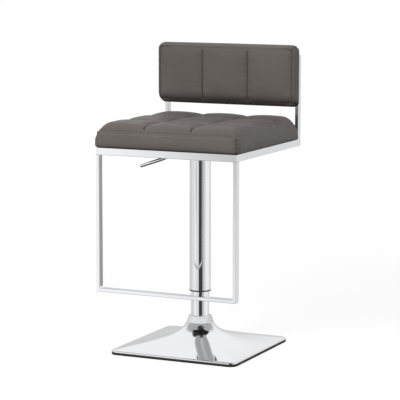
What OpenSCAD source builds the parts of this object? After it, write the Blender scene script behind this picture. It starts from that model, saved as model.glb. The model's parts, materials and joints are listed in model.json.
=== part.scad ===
// Adjustable bar stool with a square trumpet base, a gas-lift column, a flat-tube frame with a
// footrest loop, a tufted seat cushion and a low channelled back cushion.
// Millimetres, +Z up, the stool faces -Y. The origin is on the floor under the column's axis.
// The seat is drawn right down, where the gas lift rests on its rubber buffer.

/* [Seat frame] */
// Outer width of the seat frame
seat_w = 420; // [390:1:460]
// Outer depth of the seat frame
seat_d = 450; // [410:1:490]
// Height of the frame's top edge above the floor with the seat right down
frame_top = 582; // [570:1:620]
// Broad side of the flat tube
bar_broad = 20; // [18:1:24]
// Narrow side of the flat tube
bar_narrow = 10; // [9:1:12]
// Wall of the flat tube
bar_wall = 1.5; // [1:0.1:2]
// Rounding of the flat tube's long edges
bar_edge_r = 1; // [0.6:0.1:1.4]
// Radius of the polished weld in each inner corner
weld_r = 4.5; // [3:0.5:7]
// Distance between the centre lines of the two rails under the board
rail_spacing = 140; // [130:1:170]

/* [Footrest] */
// Drop from the frame's top edge to the underside of the footrest bar
footrest_drop = 399; // [300:1:410]

/* [Seat cushion] */
// Height of the seat cushion's stitched boxing
seat_boxing = 40; // [34:1:50]
// Rise of the seat cushion's crown above its boxing seam
seat_crown = 24.5; // [14:0.5:28]
// Rise of each tufted panel above its seams
seat_tuft = 7; // [3:0.5:9]
// Radius of the seat cushion's corners in plan
seat_corner_r = 16; // [12:1:24]
// Sewn panels across and from front to back
seat_panels = 3; // [2:1:3]
// Thickness of the plywood seat board
board_t = 12; // [12:1:15]

/* [Back cushion] */
// How far the back cushion's seams stand out past each upright
back_overhang = 0.5; // [0:0.5:20]
// Height of the back cushion at its seams
back_h = 160; // [150:1:190]
// Depth of the back cushion's boxing
back_boxing = 38; // [30:1:44]
// Rise of the back cushion's face above its seams
back_crown = 6; // [4:0.5:9]
// Rise of each channel above the seams beside it
back_tuft = 3.5; // [2:0.5:5]
// Radius of the back cushion's corners
back_corner_r = 14; // [10:1:20]
// Height of the gap from the frame's top edge to the back cushion
back_lift = 100.5; // [96:0.5:130]
// Sewn channels across the back cushion
back_channels = 3; // [2:1:3]
// Thickness of the plywood back board
back_board_t = 9; // [7:1:10]

/* [Column] */
// Outer diameter of the chromed cover tube
cover_tube_d = 60; // [57:1:64]
// Wall of the cover tube
cover_tube_wall = 1.5; // [1:0.1:2]
// Outer diameter of the lower tube
lower_tube_d = 51; // [48:1:52]
// Wall of the lower tube
lower_tube_wall = 2; // [1.5:0.1:3]
// Lower tube that shows between the collar and the cover tube
tube_showing = 72; // [40:1:90]
// Travel of the gas lift
stroke = 210; // [150:1:230]
// Outer diameter of the gas cylinder
cylinder_d = 28; // [26:1:30]
// Wall of the gas cylinder
cylinder_wall = 1.5; // [1:0.1:2]
// Diameter of the piston rod
rod_d = 10; // [9:1:12]
// Height of the tapered seat that grips the cylinder
taper_h = 44; // [36:1:50]

/* [Base] */
// Side of the square base
base_side = 380; // [360:1:420]
// Radius of the base's corners
base_corner_r = 22; // [16:1:34]
// Height of the base's rim
rim_h = 12; // [11:0.5:15]
// Height of the base's neck under the collar
neck_h = 76; // [70:1:90]
// Diameter of the base's neck under the collar
neck_d = 76; // [72:1:84]
// Sheet thickness of the pressed base cover
cover_sheet = 1.5; // [1:0.1:2]
// Height of the rubber edge seal that the base stands on
seal_h = 5; // [4:0.5:6]
// Height of the collar ring
collar_h = 18; // [14:1:24]
// Outer diameter of the collar ring at its top
collar_top_d = 66; // [62:1:70]

/* [Lever] */
// Angle that the lever droops below level
lever_droop = 18.5; // [15:0.5:22]
// Distance from the column's axis to the lever's tip
lever_reach = 189; // [160:1:200]
// Diameter of the lever's rod
lever_d = 7; // [6:0.5:8]
// Length of the lever's grip
grip_len = 72; // [50:1:90]
// Diameter of the lever's grip
grip_d = 10; // [9:0.5:13]

/* [Hidden] */

// Facets on a true circle
$fn = 96;
// How far a cutting solid runs past the face that it cuts
overrun = 1;
// Radial clearance of a running fit
run_gap = 0.08;
// Radial clearance of a pressed or screwed fit
press_gap = 0.03;
// Clearance round upholstery, rubber and loose sheet metal
soft_gap = 0.3;

// Left is -X and right is +X, seen from behind the stool
LEFT = -1;
RIGHT = 1;

// Frame levels
frame_bottom = frame_top - bar_broad;
footrest_z = frame_top - footrest_drop;
half_w = seat_w / 2;
half_d = seat_d / 2;
// The front beam is one narrow side deep, the rear beam one broad side
inner_front = -half_d + bar_narrow;
inner_rear = half_d - bar_broad;
inner_half_w = half_w - bar_narrow;
tab_side = 32;
tab_t = 3;
tab_corner_r = 4;
tab_x = inner_half_w - tab_side / 2;
tab_ys = [inner_front + tab_side / 2, inner_rear - tab_side / 2];

// Board and screws under the seat
wrap_margin = 6;
// How much rounder a board's corners are than the corners of its pocket
board_ease = 4;
seat_bulge = 7.5;
cushion_half_d = (seat_d - bar_broad - seat_bulge - soft_gap) / 2;
cushion_mid_y = -half_d + cushion_half_d;
board_half_w = half_w - wrap_margin - soft_gap;
board_half_d = cushion_half_d - wrap_margin - soft_gap;
board_corner_r = seat_corner_r - wrap_margin + board_ease;
board_screw_r = 2;
board_screw_head_r = 4;
board_screw_head_h = 2.4;
board_screw_bite = 9;

// Cushion shaping
seat_edge_run = 32;
back_bulge = 7.5;
back_edge_run = 26;
// Where the grid lines of one sewn panel fall, as shares of the panel
panel_line_shares = [0, 0.04, 0.12, 0.27, 0.5, 0.73, 0.88, 0.96];
// Steps of the boxing between the seam and the bottom edge, as shares of its height
boxing_step_shares = [0.8, 0.5, 0.2, 0];
pillow_power = 2.4;
rise_power = 2.2;

// Back rest
back_w = seat_w + 2 * back_overhang;
back_panel_t = 2;
back_panel_margin = 4;
back_rear = inner_rear - back_panel_t - soft_gap;
back_bottom = frame_top + back_lift;
back_mid = back_bottom + back_h / 2;
back_screw_low = 34;
upright_end = 26;
// How far each upright stops short of the back cushion's top seam
upright_short = 25;
upright_top = back_bottom + back_h - upright_short;
back_screw_zs = [back_bottom + back_screw_low, upright_top - upright_end];
back_tab_w = 26;
back_tab_h = 30;
back_screw_x = inner_half_w - back_tab_w / 2;
back_screw_r = 2.5;
back_screw_head_r = 4.5;
back_screw_head_h = 2.5;
back_screw_bite = 6;
cap_t = 2;
cap_plug_h = 12;

// Column radii
cover_r = cover_tube_d / 2;
cover_in_r = cover_r - cover_tube_wall;
lower_r = lower_tube_d / 2;
lower_in_r = lower_r - lower_tube_wall;
cylinder_r = cylinder_d / 2;
cylinder_in_r = cylinder_r - cylinder_wall;
rod_r = rod_d / 2;

// Base
base_half = base_side / 2;
neck_r = neck_d / 2;
rim_round = 3;
neck_gap = 0.5;
flare_power = 2;
flare_steps = 12;
rim_steps = 3;
// Points in each eighth of the base's outline
eighth_points = 9;
seal_w = 5;
ledge_h = 2;
ledge_w = 14;
weight_half = base_half - seal_w - soft_gap;
weight_t = 7.2;
weight_corner_r = base_corner_r - seal_w;
pad_side = 180;
pad_corner_r = 24;
pad_top = 19;
boss_r = 56;
boss_top = 26;
access_r = 19;
rib_w = 10;
rib_top = 13;

// Flange that is welded round the foot of the lower tube
flange_r = 52;
flange_t = 6;
flange_bolt_ring_r = 39;
flange_bolts_n = 4;
flange_bolt_r = 4;
flange_bolt_head_r = 7.2;
flange_bolt_head_h = 5.3;
flange_bolt_bite = 12;
flange_washer_r = 8;
flange_washer_t = 1.6;

// Rod seat and thrust bearing, from the foot of the lower tube upwards
rod_seat_t = 10;
rod_step = 1;
rod_foot_r = rod_r - rod_step;
rod_seat_top = boss_top + rod_seat_t;
race_t = 3;
race_out_r = 19;
race_groove = 0.8;
ball_r = 2.5;
ball_ring_r = 13.5;
balls_n = 12;
cage_t = 1.2;
cage_side = 4;
lower_race_top = rod_seat_top + race_t;
ball_z = lower_race_top - race_groove + ball_r;
upper_race_z = ball_z + ball_r - race_groove;
upper_race_top = upper_race_z + race_t;
rod_washer_r = 11;
rod_washer_t = 1.5;
rod_washer_z = boss_top - run_gap - rod_washer_t;
clip_t = 1.2;
clip_r = 7.5;
clip_groove = 0.8;
clip_grip = 0.6;
clip_neck_r = rod_foot_r - clip_groove;
clip_slot_w = 2 * clip_neck_r - clip_grip;
clip_z = rod_washer_z - clip_t;
rod_end = 3;
rod_chamfer = 0.8;
rod_z = clip_z - rod_end;
buffer_h = 12;
buffer_r = 12.5;
buffer_top = upper_race_top + buffer_h;

// Cylinder, its guide and its piston
cylinder_z = buffer_top + soft_gap;
cylinder_lip = 2;
cylinder_guide_h = 34;
guide_top = cylinder_z + cylinder_lip + cylinder_guide_h;
piston_h = 22;
piston_z = guide_top + stroke + soft_gap;
piston_top = piston_z + piston_h;
piston_slack = 0.4;
piston_r = cylinder_in_r - piston_slack;
seal_ring_h = 4;
seal_ring_d = 1.6;
seal_ring_z = piston_z + piston_h / 2 - seal_ring_h / 2;

// Mounting plate and tapered seat
plate_t = 3;
plate_w = 172;
plate_d = 150;
plate_corner_r = 6;
plate_lip_h = 9;
plate_top = frame_bottom;
plate_bottom = plate_top - plate_t;
plate_bolt_x = rail_spacing / 2;
plate_bolt_y = 55;
plate_bolt_r = 3;
plate_bolt_head_r = 5.5;
plate_bolt_head_h = 4;
plate_bolt_cover = 3;
plate_bolt_bite = board_t - plate_bolt_cover;
plate_washer_r = 7;
plate_washer_t = 1.2;
bolt_hole_gap = 0.3;
socket_wall = 6.5;
taper_z = plate_bottom - taper_h;
taper_drop = 0.9;
taper_top_r = cylinder_r - taper_drop;
cylinder_recess = 2;
cylinder_top = plate_top - cylinder_recess;
valve_r = 8.5;
valve_h = 38;
valve_z = cylinder_top - valve_h;
valve_bore_depth = 16;

// Cover tube and the bush that the cylinder slides in
cover_rim = neck_h + collar_h + tube_showing;
ring_lip_h = 2.4;
ring_spigot_h = 24;
tube_overlap = 64;
lower_tube_top = cover_rim + stroke + tube_overlap;
bush_h = 70;
bush_lip_h = 3;
cap_ring_h = 8;
cover_tube_top = plate_bottom - soft_gap;

// Lever: pivot above the plate, a short arm over the button, an elbow and a drooping rod
lever_r = lever_d / 2;
pivot_x = -30;
pivot_rise = 7.5;
pivot_z = plate_top + pivot_rise;
arm_end_x = 5;
elbow_run = 14;
elbow_x = pivot_x - elbow_run;
elbow_z = pivot_z - elbow_run;
pin_r = 2.5;
pin_head_r = 4;
pin_head_t = 1.5;
hub_r = 5.6;
ear_gap = 20;
ear_t = 3;
ear_r = 6.5;
hub_len = ear_gap - 2 * soft_gap;
slot_len = 36;
slot_w = 14;
slot_x = pivot_x - slot_len / 2;
tip_len = (lever_reach + elbow_x) / cos(lever_droop);
grip_neck_len = 11;
grip_neck_step = 1.1;
grip_neck_r = lever_r + grip_neck_step;
grip_end = 3;
button_r = 4;
button_gap = 0.2;
button_top = pivot_z - lever_r - button_gap;
button_len = 14;

// A rectangle with true round corners, centred
module rounded_rect(w, d, r) {
    square([w - 2 * r, d], center = true);
    square([w, d - 2 * r], center = true);
    for (x = [-1, 1], y = [-1, 1])
        translate([x * (w / 2 - r), y * (d / 2 - r)]) circle(r);
}

// The section of the flat tube, with the given sides along the section's x and y
module tube_section(w, h) {
    difference() {
        rounded_rect(w, h, bar_edge_r);
        square([w - 2 * bar_wall, h - 2 * bar_wall], center = true);
    }
}

// A round tube or disc from z0 to z1
module ring(z0, z1, r_out, r_in) {
    translate([0, 0, z0]) difference() {
        cylinder(h = z1 - z0, r = r_out);
        translate([0, 0, -overrun]) cylinder(h = z1 - z0 + 2 * overrun, r = r_in);
    }
}

// Copies at equal angles round the Z axis
module around(count) {
    for (i = [0:count - 1]) rotate([0, 0, i * 360 / count]) children();
}

// Copies at the four corners of a rectangle
module at_corners(x, y) {
    for (sx = [-1, 1], sy = [-1, 1]) translate([sx * x, sy * y, 0]) children();
}

// Base

function mix(a, b, t) = a + (b - a) * t;

// Angles round the base, crowded towards its corners
function outline_angle(k) = let (
    eighth = floor(k / eighth_points),
    step = k - eighth * eighth_points,
    turn = 45 * sin(90 * (eighth % 2 == 0 ? step : eighth_points - step) / eighth_points))
    eighth % 2 == 0 ? 45 * eighth + turn : 45 * (eighth + 1) - turn;

// Distance from the centre to a rounded square at an angle
function square_reach(angle, half, r) = let (
    fold = abs((angle + 45) % 90 - 45),
    flat = atan((half - r) / half),
    along = (half - r) * (cos(fold) + sin(fold)))
    fold <= flat ? half / cos(fold)
        : along + sqrt(along * along - 2 * (half - r) * (half - r) + r * r);

// One level of the base: a circle at squareness 0 and a rounded square at squareness 1
function base_level(size, squareness, corner, z) = [for (k = [0:8 * eighth_points - 1]) let (
    a = outline_angle(k),
    reach = mix(size, square_reach(a, size, corner), squareness))
    [reach * cos(a), reach * sin(a), z]];

flare_end = base_half - rim_round;
function flare_size(t) = mix(neck_r, flare_end, t);
function flare_z(t) = rim_h + (neck_h - rim_h) * pow(1 - t, flare_power);
function flare_slope(t) = atan(flare_power * (neck_h - rim_h) * pow(1 - t, flare_power - 1)
    / (flare_end - neck_r));
flare_corner_r = base_corner_r - rim_round;

// The flare from the neck to the rim, and the same surface one sheet thickness inside
function flare_levels(inset) = [for (i = [0:flare_steps]) let (
    t = i / flare_steps,
    slope = flare_slope(t))
    base_level(flare_size(t) - inset * sin(slope), t, flare_corner_r,
        flare_z(t) - inset * cos(slope))];

// The rounded rim, from the flare down to the skirt
function rim_levels(inset) = [for (i = [1:rim_steps]) let (
    a = 90 * i / rim_steps,
    r = rim_round - inset)
    base_level(flare_end + r * sin(a), 1, flare_corner_r + r * sin(a),
        rim_h - rim_round + r * cos(a))];

function reversed(list) = [for (i = [len(list) - 1:-1:0]) list[i]];

// A closed skin through levels of equal count, where the last level joins the first
module closed_skin(levels) {
    rows = len(levels);
    n = len(levels[0]);
    points = [for (level = levels) each level];
    faces = [for (i = [0:rows - 1], k = [0:n - 1], half = [0, 1]) let (
        a = i * n + k,
        b = i * n + (k + 1) % n,
        c = (i + 1) % rows * n + k,
        d = (i + 1) % rows * n + (k + 1) % n)
        half == 0 ? [a, b, c] : [b, d, c]];
    polyhedron(points = points, faces = faces);
}

module base_cover() {
    hole_r = lower_r + neck_gap;
    outside = concat([base_level(hole_r, 0, flare_corner_r, neck_h)], flare_levels(0),
        rim_levels(0), [base_level(base_half, 1, base_corner_r, seal_h)]);
    inside = concat([base_level(hole_r, 0, flare_corner_r, neck_h - cover_sheet)],
        flare_levels(cover_sheet), rim_levels(cover_sheet),
        [base_level(base_half - cover_sheet, 1, base_corner_r - cover_sheet, seal_h)]);
    color([0.82, 0.82, 0.85]) closed_skin(concat(outside, reversed(inside)));
}

module base_edge_seal() {
    wall_side = base_side - 2 * seal_w;
    ledge_side = base_side - 2 * ledge_w;
    color([0.08, 0.08, 0.08]) difference() {
        linear_extrude(seal_h) rounded_rect(base_side, base_side, base_corner_r);
        translate([0, 0, ledge_h]) linear_extrude(seal_h)
            rounded_rect(wall_side, wall_side, base_corner_r - seal_w);
        translate([0, 0, -overrun]) linear_extrude(seal_h)
            rounded_rect(ledge_side, ledge_side, base_corner_r - seal_w);
    }
}

module base_weight() {
    rib_len = 2 * weight_half - 2 * weight_corner_r;
    color([0.22, 0.22, 0.23]) difference() {
        union() {
            translate([0, 0, ledge_h]) linear_extrude(weight_t)
                rounded_rect(2 * weight_half, 2 * weight_half, weight_corner_r);
            translate([0, 0, ledge_h]) linear_extrude(pad_top - ledge_h)
                rounded_rect(pad_side, pad_side, pad_corner_r);
            translate([0, 0, ledge_h]) cylinder(h = boss_top - ledge_h, r = boss_r);
            for (a = [45, 135]) rotate([0, 0, a]) translate([0, 0, ledge_h])
                linear_extrude(rib_top - ledge_h) square([rib_len, rib_w], center = true);
        }
        translate([0, 0, ledge_h - overrun]) cylinder(h = boss_top, r = access_r);
        around(flange_bolts_n) translate([flange_bolt_ring_r, 0, boss_top - flange_bolt_bite])
            cylinder(h = flange_bolt_bite + overrun, r = flange_bolt_r + press_gap);
    }
}

module column_flange() {
    color([0.45, 0.45, 0.47]) difference() {
        ring(boss_top, boss_top + flange_t, flange_r, lower_r + press_gap);
        around(flange_bolts_n) translate([flange_bolt_ring_r, 0, boss_top - overrun])
            cylinder(h = flange_t + 2 * overrun, r = flange_bolt_r + bolt_hole_gap);
    }
}

module flange_bolts() {
    color([0.6, 0.6, 0.62]) around(flange_bolts_n) translate([flange_bolt_ring_r, 0, boss_top]) {
        translate([0, 0, -flange_bolt_bite])
            cylinder(h = flange_bolt_bite + flange_t + flange_washer_t, r = flange_bolt_r);
        translate([0, 0, flange_t + flange_washer_t])
            cylinder(h = flange_bolt_head_h, r = flange_bolt_head_r, $fn = 6);
    }
}

module flange_washers() {
    color([0.7, 0.7, 0.7]) around(flange_bolts_n) translate([flange_bolt_ring_r, 0, boss_top])
        ring(flange_t, flange_t + flange_washer_t, flange_washer_r, flange_bolt_r + bolt_hole_gap);
}

module collar_ring() {
    lip = collar_h / 6;
    color([0.88, 0.88, 0.9]) translate([0, 0, neck_h]) rotate_extrude()
        polygon([[lower_r + soft_gap, 0], [neck_r, 0], [neck_r, lip],
            [mix(neck_r, collar_top_d / 2, 0.9), collar_h - lip / 2],
            [collar_top_d / 2 - lip / 2, collar_h], [lower_r + soft_gap, collar_h]]);
}

// Column

module lower_tube() {
    color([0.8, 0.8, 0.82]) ring(boss_top, lower_tube_top, lower_r, lower_in_r);
}

module guide_bush() {
    bore = cylinder_r + run_gap;
    color([0.1, 0.1, 0.1]) {
        ring(lower_tube_top - bush_h, lower_tube_top, lower_in_r - press_gap, bore);
        ring(lower_tube_top, lower_tube_top + bush_lip_h, lower_r - lower_tube_wall / 4, bore);
    }
}

module rod_seat() {
    color([0.5, 0.5, 0.52])
        ring(boss_top, rod_seat_top, lower_in_r - press_gap, rod_foot_r + run_gap);
}

// A bearing race: a washer from z0 with a ball groove centred on ball_z
module race(z0, bore_r) {
    difference() {
        ring(z0, z0 + race_t, race_out_r, bore_r);
        translate([0, 0, ball_z]) rotate_extrude()
            translate([ball_ring_r, 0]) circle(ball_r + run_gap);
    }
}

module bearing_lower_race() {
    color([0.66, 0.66, 0.68]) race(rod_seat_top, rod_foot_r + soft_gap);
}

module bearing_upper_race() {
    color([0.66, 0.66, 0.68]) race(upper_race_z, rod_foot_r + press_gap);
}

module bearing_cage() {
    color([0.72, 0.58, 0.3]) difference() {
        ring(ball_z - cage_t / 2, ball_z + cage_t / 2, ball_ring_r + cage_side,
            ball_ring_r - cage_side);
        around(balls_n) translate([ball_ring_r, 0, ball_z - cage_t])
            cylinder(h = 2 * cage_t, r = ball_r + run_gap, $fn = 32);
    }
}

module bearing_balls() {
    color([0.85, 0.85, 0.87]) around(balls_n) translate([ball_ring_r, 0, ball_z])
        sphere(ball_r, $fn = 32);
}

module piston_rod() {
    color([0.78, 0.78, 0.8]) rotate_extrude() polygon([
        [0, rod_z], [rod_foot_r - rod_chamfer, rod_z], [rod_foot_r, rod_z + rod_chamfer],
        [rod_foot_r, clip_z], [clip_neck_r, clip_z], [clip_neck_r, rod_washer_z],
        [rod_foot_r, rod_washer_z], [rod_foot_r, upper_race_top], [rod_r, upper_race_top],
        [rod_r, piston_z], [rod_foot_r, piston_z], [rod_foot_r, piston_top], [0, piston_top]]);
}

module rod_washer() {
    color([0.7, 0.7, 0.7]) ring(rod_washer_z, rod_washer_z + rod_washer_t, rod_washer_r,
        rod_foot_r + press_gap);
}

module rod_clip() {
    color([0.25, 0.25, 0.26]) difference() {
        ring(clip_z, clip_z + clip_t, clip_r, clip_neck_r + press_gap);
        translate([0, -clip_slot_w / 2, clip_z - overrun])
            cube([clip_r + overrun, clip_slot_w, clip_t + 2 * overrun]);
    }
}

module rod_buffer() {
    color([0.07, 0.07, 0.07]) ring(upper_race_top, buffer_top, buffer_r, rod_r + run_gap);
}

module piston() {
    groove = seal_ring_d;
    color([0.62, 0.62, 0.64]) difference() {
        ring(piston_z, piston_top, piston_r, rod_foot_r + press_gap);
        ring(seal_ring_z, seal_ring_z + seal_ring_h, piston_r + overrun, piston_r - groove);
    }
}

module piston_seal() {
    color([0.1, 0.1, 0.1]) ring(seal_ring_z + press_gap, seal_ring_z + seal_ring_h - press_gap,
        cylinder_in_r - run_gap, piston_r - seal_ring_d + press_gap);
}

module gas_cylinder() {
    color([0.12, 0.12, 0.13]) rotate_extrude() polygon([
        [cylinder_in_r - cylinder_lip, cylinder_z], [cylinder_r, cylinder_z],
        [cylinder_r, taper_z], [taper_top_r, plate_bottom], [taper_top_r, cylinder_top],
        [valve_r, cylinder_top], [valve_r, valve_z], [cylinder_in_r, taper_z],
        [cylinder_in_r, cylinder_z + cylinder_lip],
        [cylinder_in_r - cylinder_lip, cylinder_z + cylinder_lip]]);
}

module cylinder_guide() {
    color([0.55, 0.5, 0.35])
        ring(cylinder_z + cylinder_lip, guide_top, cylinder_in_r - press_gap, rod_r + run_gap);
}

module valve_body() {
    color([0.75, 0.62, 0.32]) difference() {
        ring(valve_z, cylinder_top, valve_r - press_gap, 0);
        translate([0, 0, cylinder_top - valve_bore_depth])
            cylinder(h = valve_bore_depth + overrun, r = button_r + run_gap);
    }
}

module valve_button() {
    color([0.8, 0.15, 0.12]) translate([0, 0, button_top - button_len])
        cylinder(h = button_len, r = button_r);
}

module cover_tube() {
    color([0.85, 0.85, 0.88]) ring(cover_rim + ring_lip_h, cover_tube_top, cover_r, cover_in_r);
}

module cover_tube_ring() {
    color([0.1, 0.1, 0.1]) {
        ring(cover_rim, cover_rim + ring_lip_h, cover_r - cover_tube_wall / 3, lower_r + run_gap);
        ring(cover_rim + ring_lip_h, cover_rim + ring_lip_h + ring_spigot_h,
            cover_in_r - press_gap, lower_r + run_gap);
    }
}

module cover_tube_cap() {
    color([0.12, 0.12, 0.12])
        ring(taper_z - cap_ring_h, taper_z, cover_in_r - press_gap, cylinder_r + press_gap);
}

// Mounting plate and lever

module taper_socket() {
    color([0.3, 0.3, 0.31]) rotate_extrude() polygon([
        [cylinder_r + press_gap, taper_z], [cylinder_r + socket_wall, taper_z],
        [cylinder_r + socket_wall, plate_bottom], [taper_top_r + press_gap, plate_bottom]]);
}

// One upright ear for the lever's pin, with its face on the plate
module lever_ear() {
    translate([pivot_x, 0, plate_top]) difference() {
        union() {
            translate([-ear_r, 0, 0]) cube([2 * ear_r, ear_t, pivot_rise]);
            translate([0, 0, pivot_rise]) rotate([-90, 0, 0]) cylinder(h = ear_t, r = ear_r);
        }
        translate([0, -overrun, pivot_rise]) rotate([-90, 0, 0])
            cylinder(h = ear_t + 2 * overrun, r = pin_r + press_gap);
        translate([-ear_r - overrun, -overrun, -ear_r - plate_t])
            cube([2 * (ear_r + overrun), ear_t + 2 * overrun, ear_r + plate_t]);
    }
}

module mounting_plate() {
    color([0.16, 0.16, 0.17]) {
        difference() {
            translate([0, 0, plate_bottom]) linear_extrude(plate_t)
                rounded_rect(plate_w, plate_d, plate_corner_r);
            translate([0, 0, plate_bottom - overrun])
                cylinder(h = plate_t + 2 * overrun, r = taper_top_r + press_gap);
            translate([slot_x, 0, plate_bottom - overrun]) linear_extrude(plate_t + 2 * overrun)
                rounded_rect(slot_len, slot_w, slot_w / 4);
            translate([0, 0, plate_bottom - overrun]) at_corners(plate_bolt_x, plate_bolt_y)
                cylinder(h = plate_t + 2 * overrun, r = plate_bolt_r + bolt_hole_gap);
        }
        for (side = [-1, 1])
            translate([0, side * (plate_d - plate_t) / 2, plate_bottom - plate_lip_h / 2])
                cube([plate_w - 2 * plate_corner_r, plate_t, plate_lip_h], center = true);
        translate([0, ear_gap / 2, 0]) lever_ear();
        translate([0, -ear_gap / 2 - ear_t, 0]) lever_ear();
    }
}

module plate_bolts() {
    head_z = plate_bottom - plate_washer_t - plate_bolt_head_h;
    color([0.6, 0.6, 0.62]) at_corners(plate_bolt_x, plate_bolt_y) {
        translate([0, 0, head_z])
            cylinder(h = plate_bolt_head_h, r = plate_bolt_head_r, $fn = 6);
        translate([0, 0, head_z])
            cylinder(h = frame_top + plate_bolt_bite - head_z, r = plate_bolt_r);
    }
}

module plate_washers() {
    color([0.7, 0.7, 0.7]) at_corners(plate_bolt_x, plate_bolt_y)
        ring(plate_bottom - plate_washer_t, plate_bottom, plate_washer_r,
            plate_bolt_r + bolt_hole_gap);
}

// The lever is drawn in its own plane, where x is the stool's X and y is its Z
steep_angle = 225;
droop_angle = 180 + lever_droop;
droop_dir = [cos(droop_angle), sin(droop_angle)];
elbow = [elbow_x, elbow_z];
elbow_angle = (steep_angle + droop_angle) / 2;

// A straight stretch of the lever's rod
module rod_stretch(from, angle, len) {
    translate(from) rotate([0, 0, angle]) rotate([0, 90, 0]) cylinder(h = len, r = lever_r);
}

// Keeps what lies on one side of the elbow's mitre: before it at side -1, past it at side 1
module mitred_at_elbow(side) {
    block = 2 * lever_reach;
    intersection() {
        children();
        translate(elbow) rotate([0, 0, elbow_angle]) translate([side * block / 2, 0, 0])
            cube(block, center = true);
    }
}

module lever_rod() {
    steep_len = norm(elbow - [pivot_x, pivot_z]);
    color([0.8, 0.8, 0.82]) rotate([90, 0, 0]) difference() {
        union() {
            rod_stretch([pivot_x, pivot_z], 0, arm_end_x - pivot_x);
            mitred_at_elbow(-1) rod_stretch([pivot_x, pivot_z], steep_angle, steep_len + lever_r);
            mitred_at_elbow(1) rod_stretch(elbow - lever_r * droop_dir, droop_angle,
                lever_r + tip_len - grip_end - soft_gap);
            translate([pivot_x, pivot_z, -hub_len / 2]) cylinder(h = hub_len, r = hub_r);
        }
        translate([pivot_x, pivot_z, -hub_len / 2 - overrun])
            cylinder(h = hub_len + 2 * overrun, r = pin_r + run_gap);
    }
}

module lever_grip() {
    bore = lever_r + press_gap;
    grip_r = grip_d / 2;
    start = elbow + (tip_len - grip_len - grip_neck_len) * droop_dir;
    color([0.85, 0.85, 0.87]) rotate([90, 0, 0]) translate(start)
        rotate([0, 0, droop_angle]) rotate([0, 90, 0]) difference() {
            union() {
                cylinder(h = grip_neck_len, r = grip_neck_r);
                translate([0, 0, grip_neck_len]) cylinder(h = grip_len - grip_r, r = grip_r);
                translate([0, 0, grip_neck_len + grip_len - grip_r]) sphere(grip_r);
            }
            translate([0, 0, -overrun])
                cylinder(h = grip_neck_len + grip_len - grip_end + overrun, r = bore);
        }
}

module lever_pin() {
    pin_len = ear_gap + 2 * ear_t + 2 * pin_head_t;
    color([0.6, 0.6, 0.62]) translate([pivot_x, pin_len / 2, pivot_z]) rotate([90, 0, 0]) {
        cylinder(h = pin_len, r = pin_r);
        cylinder(h = pin_head_t, r = pin_head_r);
        translate([0, 0, pin_len - pin_head_t]) cylinder(h = pin_head_t, r = pin_head_r);
    }
}

// Frame

chrome_frame = [0.83, 0.84, 0.86];

// A front or rear beam: a tube along X from outer_y inwards to inner_y, mitred in plan
module cross_beam(outer_y, inner_y) {
    intersection() {
        translate([0, (outer_y + inner_y) / 2, frame_bottom + bar_broad / 2])
            rotate([90, 0, 90]) linear_extrude(seat_w, center = true)
                tube_section(abs(outer_y - inner_y), bar_broad);
        translate([0, 0, frame_bottom - overrun]) linear_extrude(bar_broad + 2 * overrun)
            polygon([[-half_w, outer_y], [half_w, outer_y], [inner_half_w, inner_y],
                [-inner_half_w, inner_y]]);
    }
}

// A side beam: a flat tube on edge along Y, mitred at both ends in plan
module side_beam(side) {
    intersection() {
        translate([side * (half_w - bar_narrow / 2), 0, frame_bottom + bar_broad / 2])
            rotate([90, 0, 0]) linear_extrude(seat_d, center = true)
                tube_section(bar_narrow, bar_broad);
        translate([0, 0, frame_bottom - overrun]) linear_extrude(bar_broad + 2 * overrun)
            polygon([[side * half_w, -half_d], [side * half_w, half_d],
                [side * inner_half_w, inner_rear], [side * inner_half_w, inner_front]]);
    }
}

module frame_front_beam() {
    color(chrome_frame) cross_beam(-half_d, inner_front);
}

module frame_rear_beam() {
    color(chrome_frame) cross_beam(half_d, inner_rear);
}

module frame_side_beam_left() {
    color(chrome_frame) side_beam(LEFT);
}

module frame_side_beam_right() {
    color(chrome_frame) side_beam(RIGHT);
}

// A rail under the board that carries the mounting plate
module seat_rail(side) {
    color([0.2, 0.2, 0.21]) difference() {
        translate([side * rail_spacing / 2, inner_rear, frame_bottom + bar_broad / 2])
            rotate([90, 0, 0]) linear_extrude(inner_rear - inner_front)
                tube_section(bar_broad, bar_broad);
        translate([0, 0, frame_bottom - overrun]) at_corners(plate_bolt_x, plate_bolt_y)
            cylinder(h = bar_broad + 2 * overrun, r = plate_bolt_r + bolt_hole_gap);
    }
}

module seat_rail_left() {
    seat_rail(LEFT);
}

module seat_rail_right() {
    seat_rail(RIGHT);
}

// Copies at the four corner tabs of the frame
module at_tabs() {
    for (x = [-tab_x, tab_x], y = tab_ys) translate([x, y, 0]) children();
}

module frame_tabs() {
    color(chrome_frame) at_tabs() difference() {
        translate([0, 0, frame_top - tab_t]) linear_extrude(tab_t)
            rounded_rect(tab_side, tab_side, tab_corner_r);
        translate([0, 0, frame_top - tab_t - overrun])
            cylinder(h = tab_t + 2 * overrun, r = board_screw_r + bolt_hole_gap);
    }
}

// A quarter-round weld in the corner of the section's two axes, cut away from the corner
module weld_section() {
    difference() {
        square(weld_r);
        translate([weld_r, weld_r]) circle(weld_r);
    }
}

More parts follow.
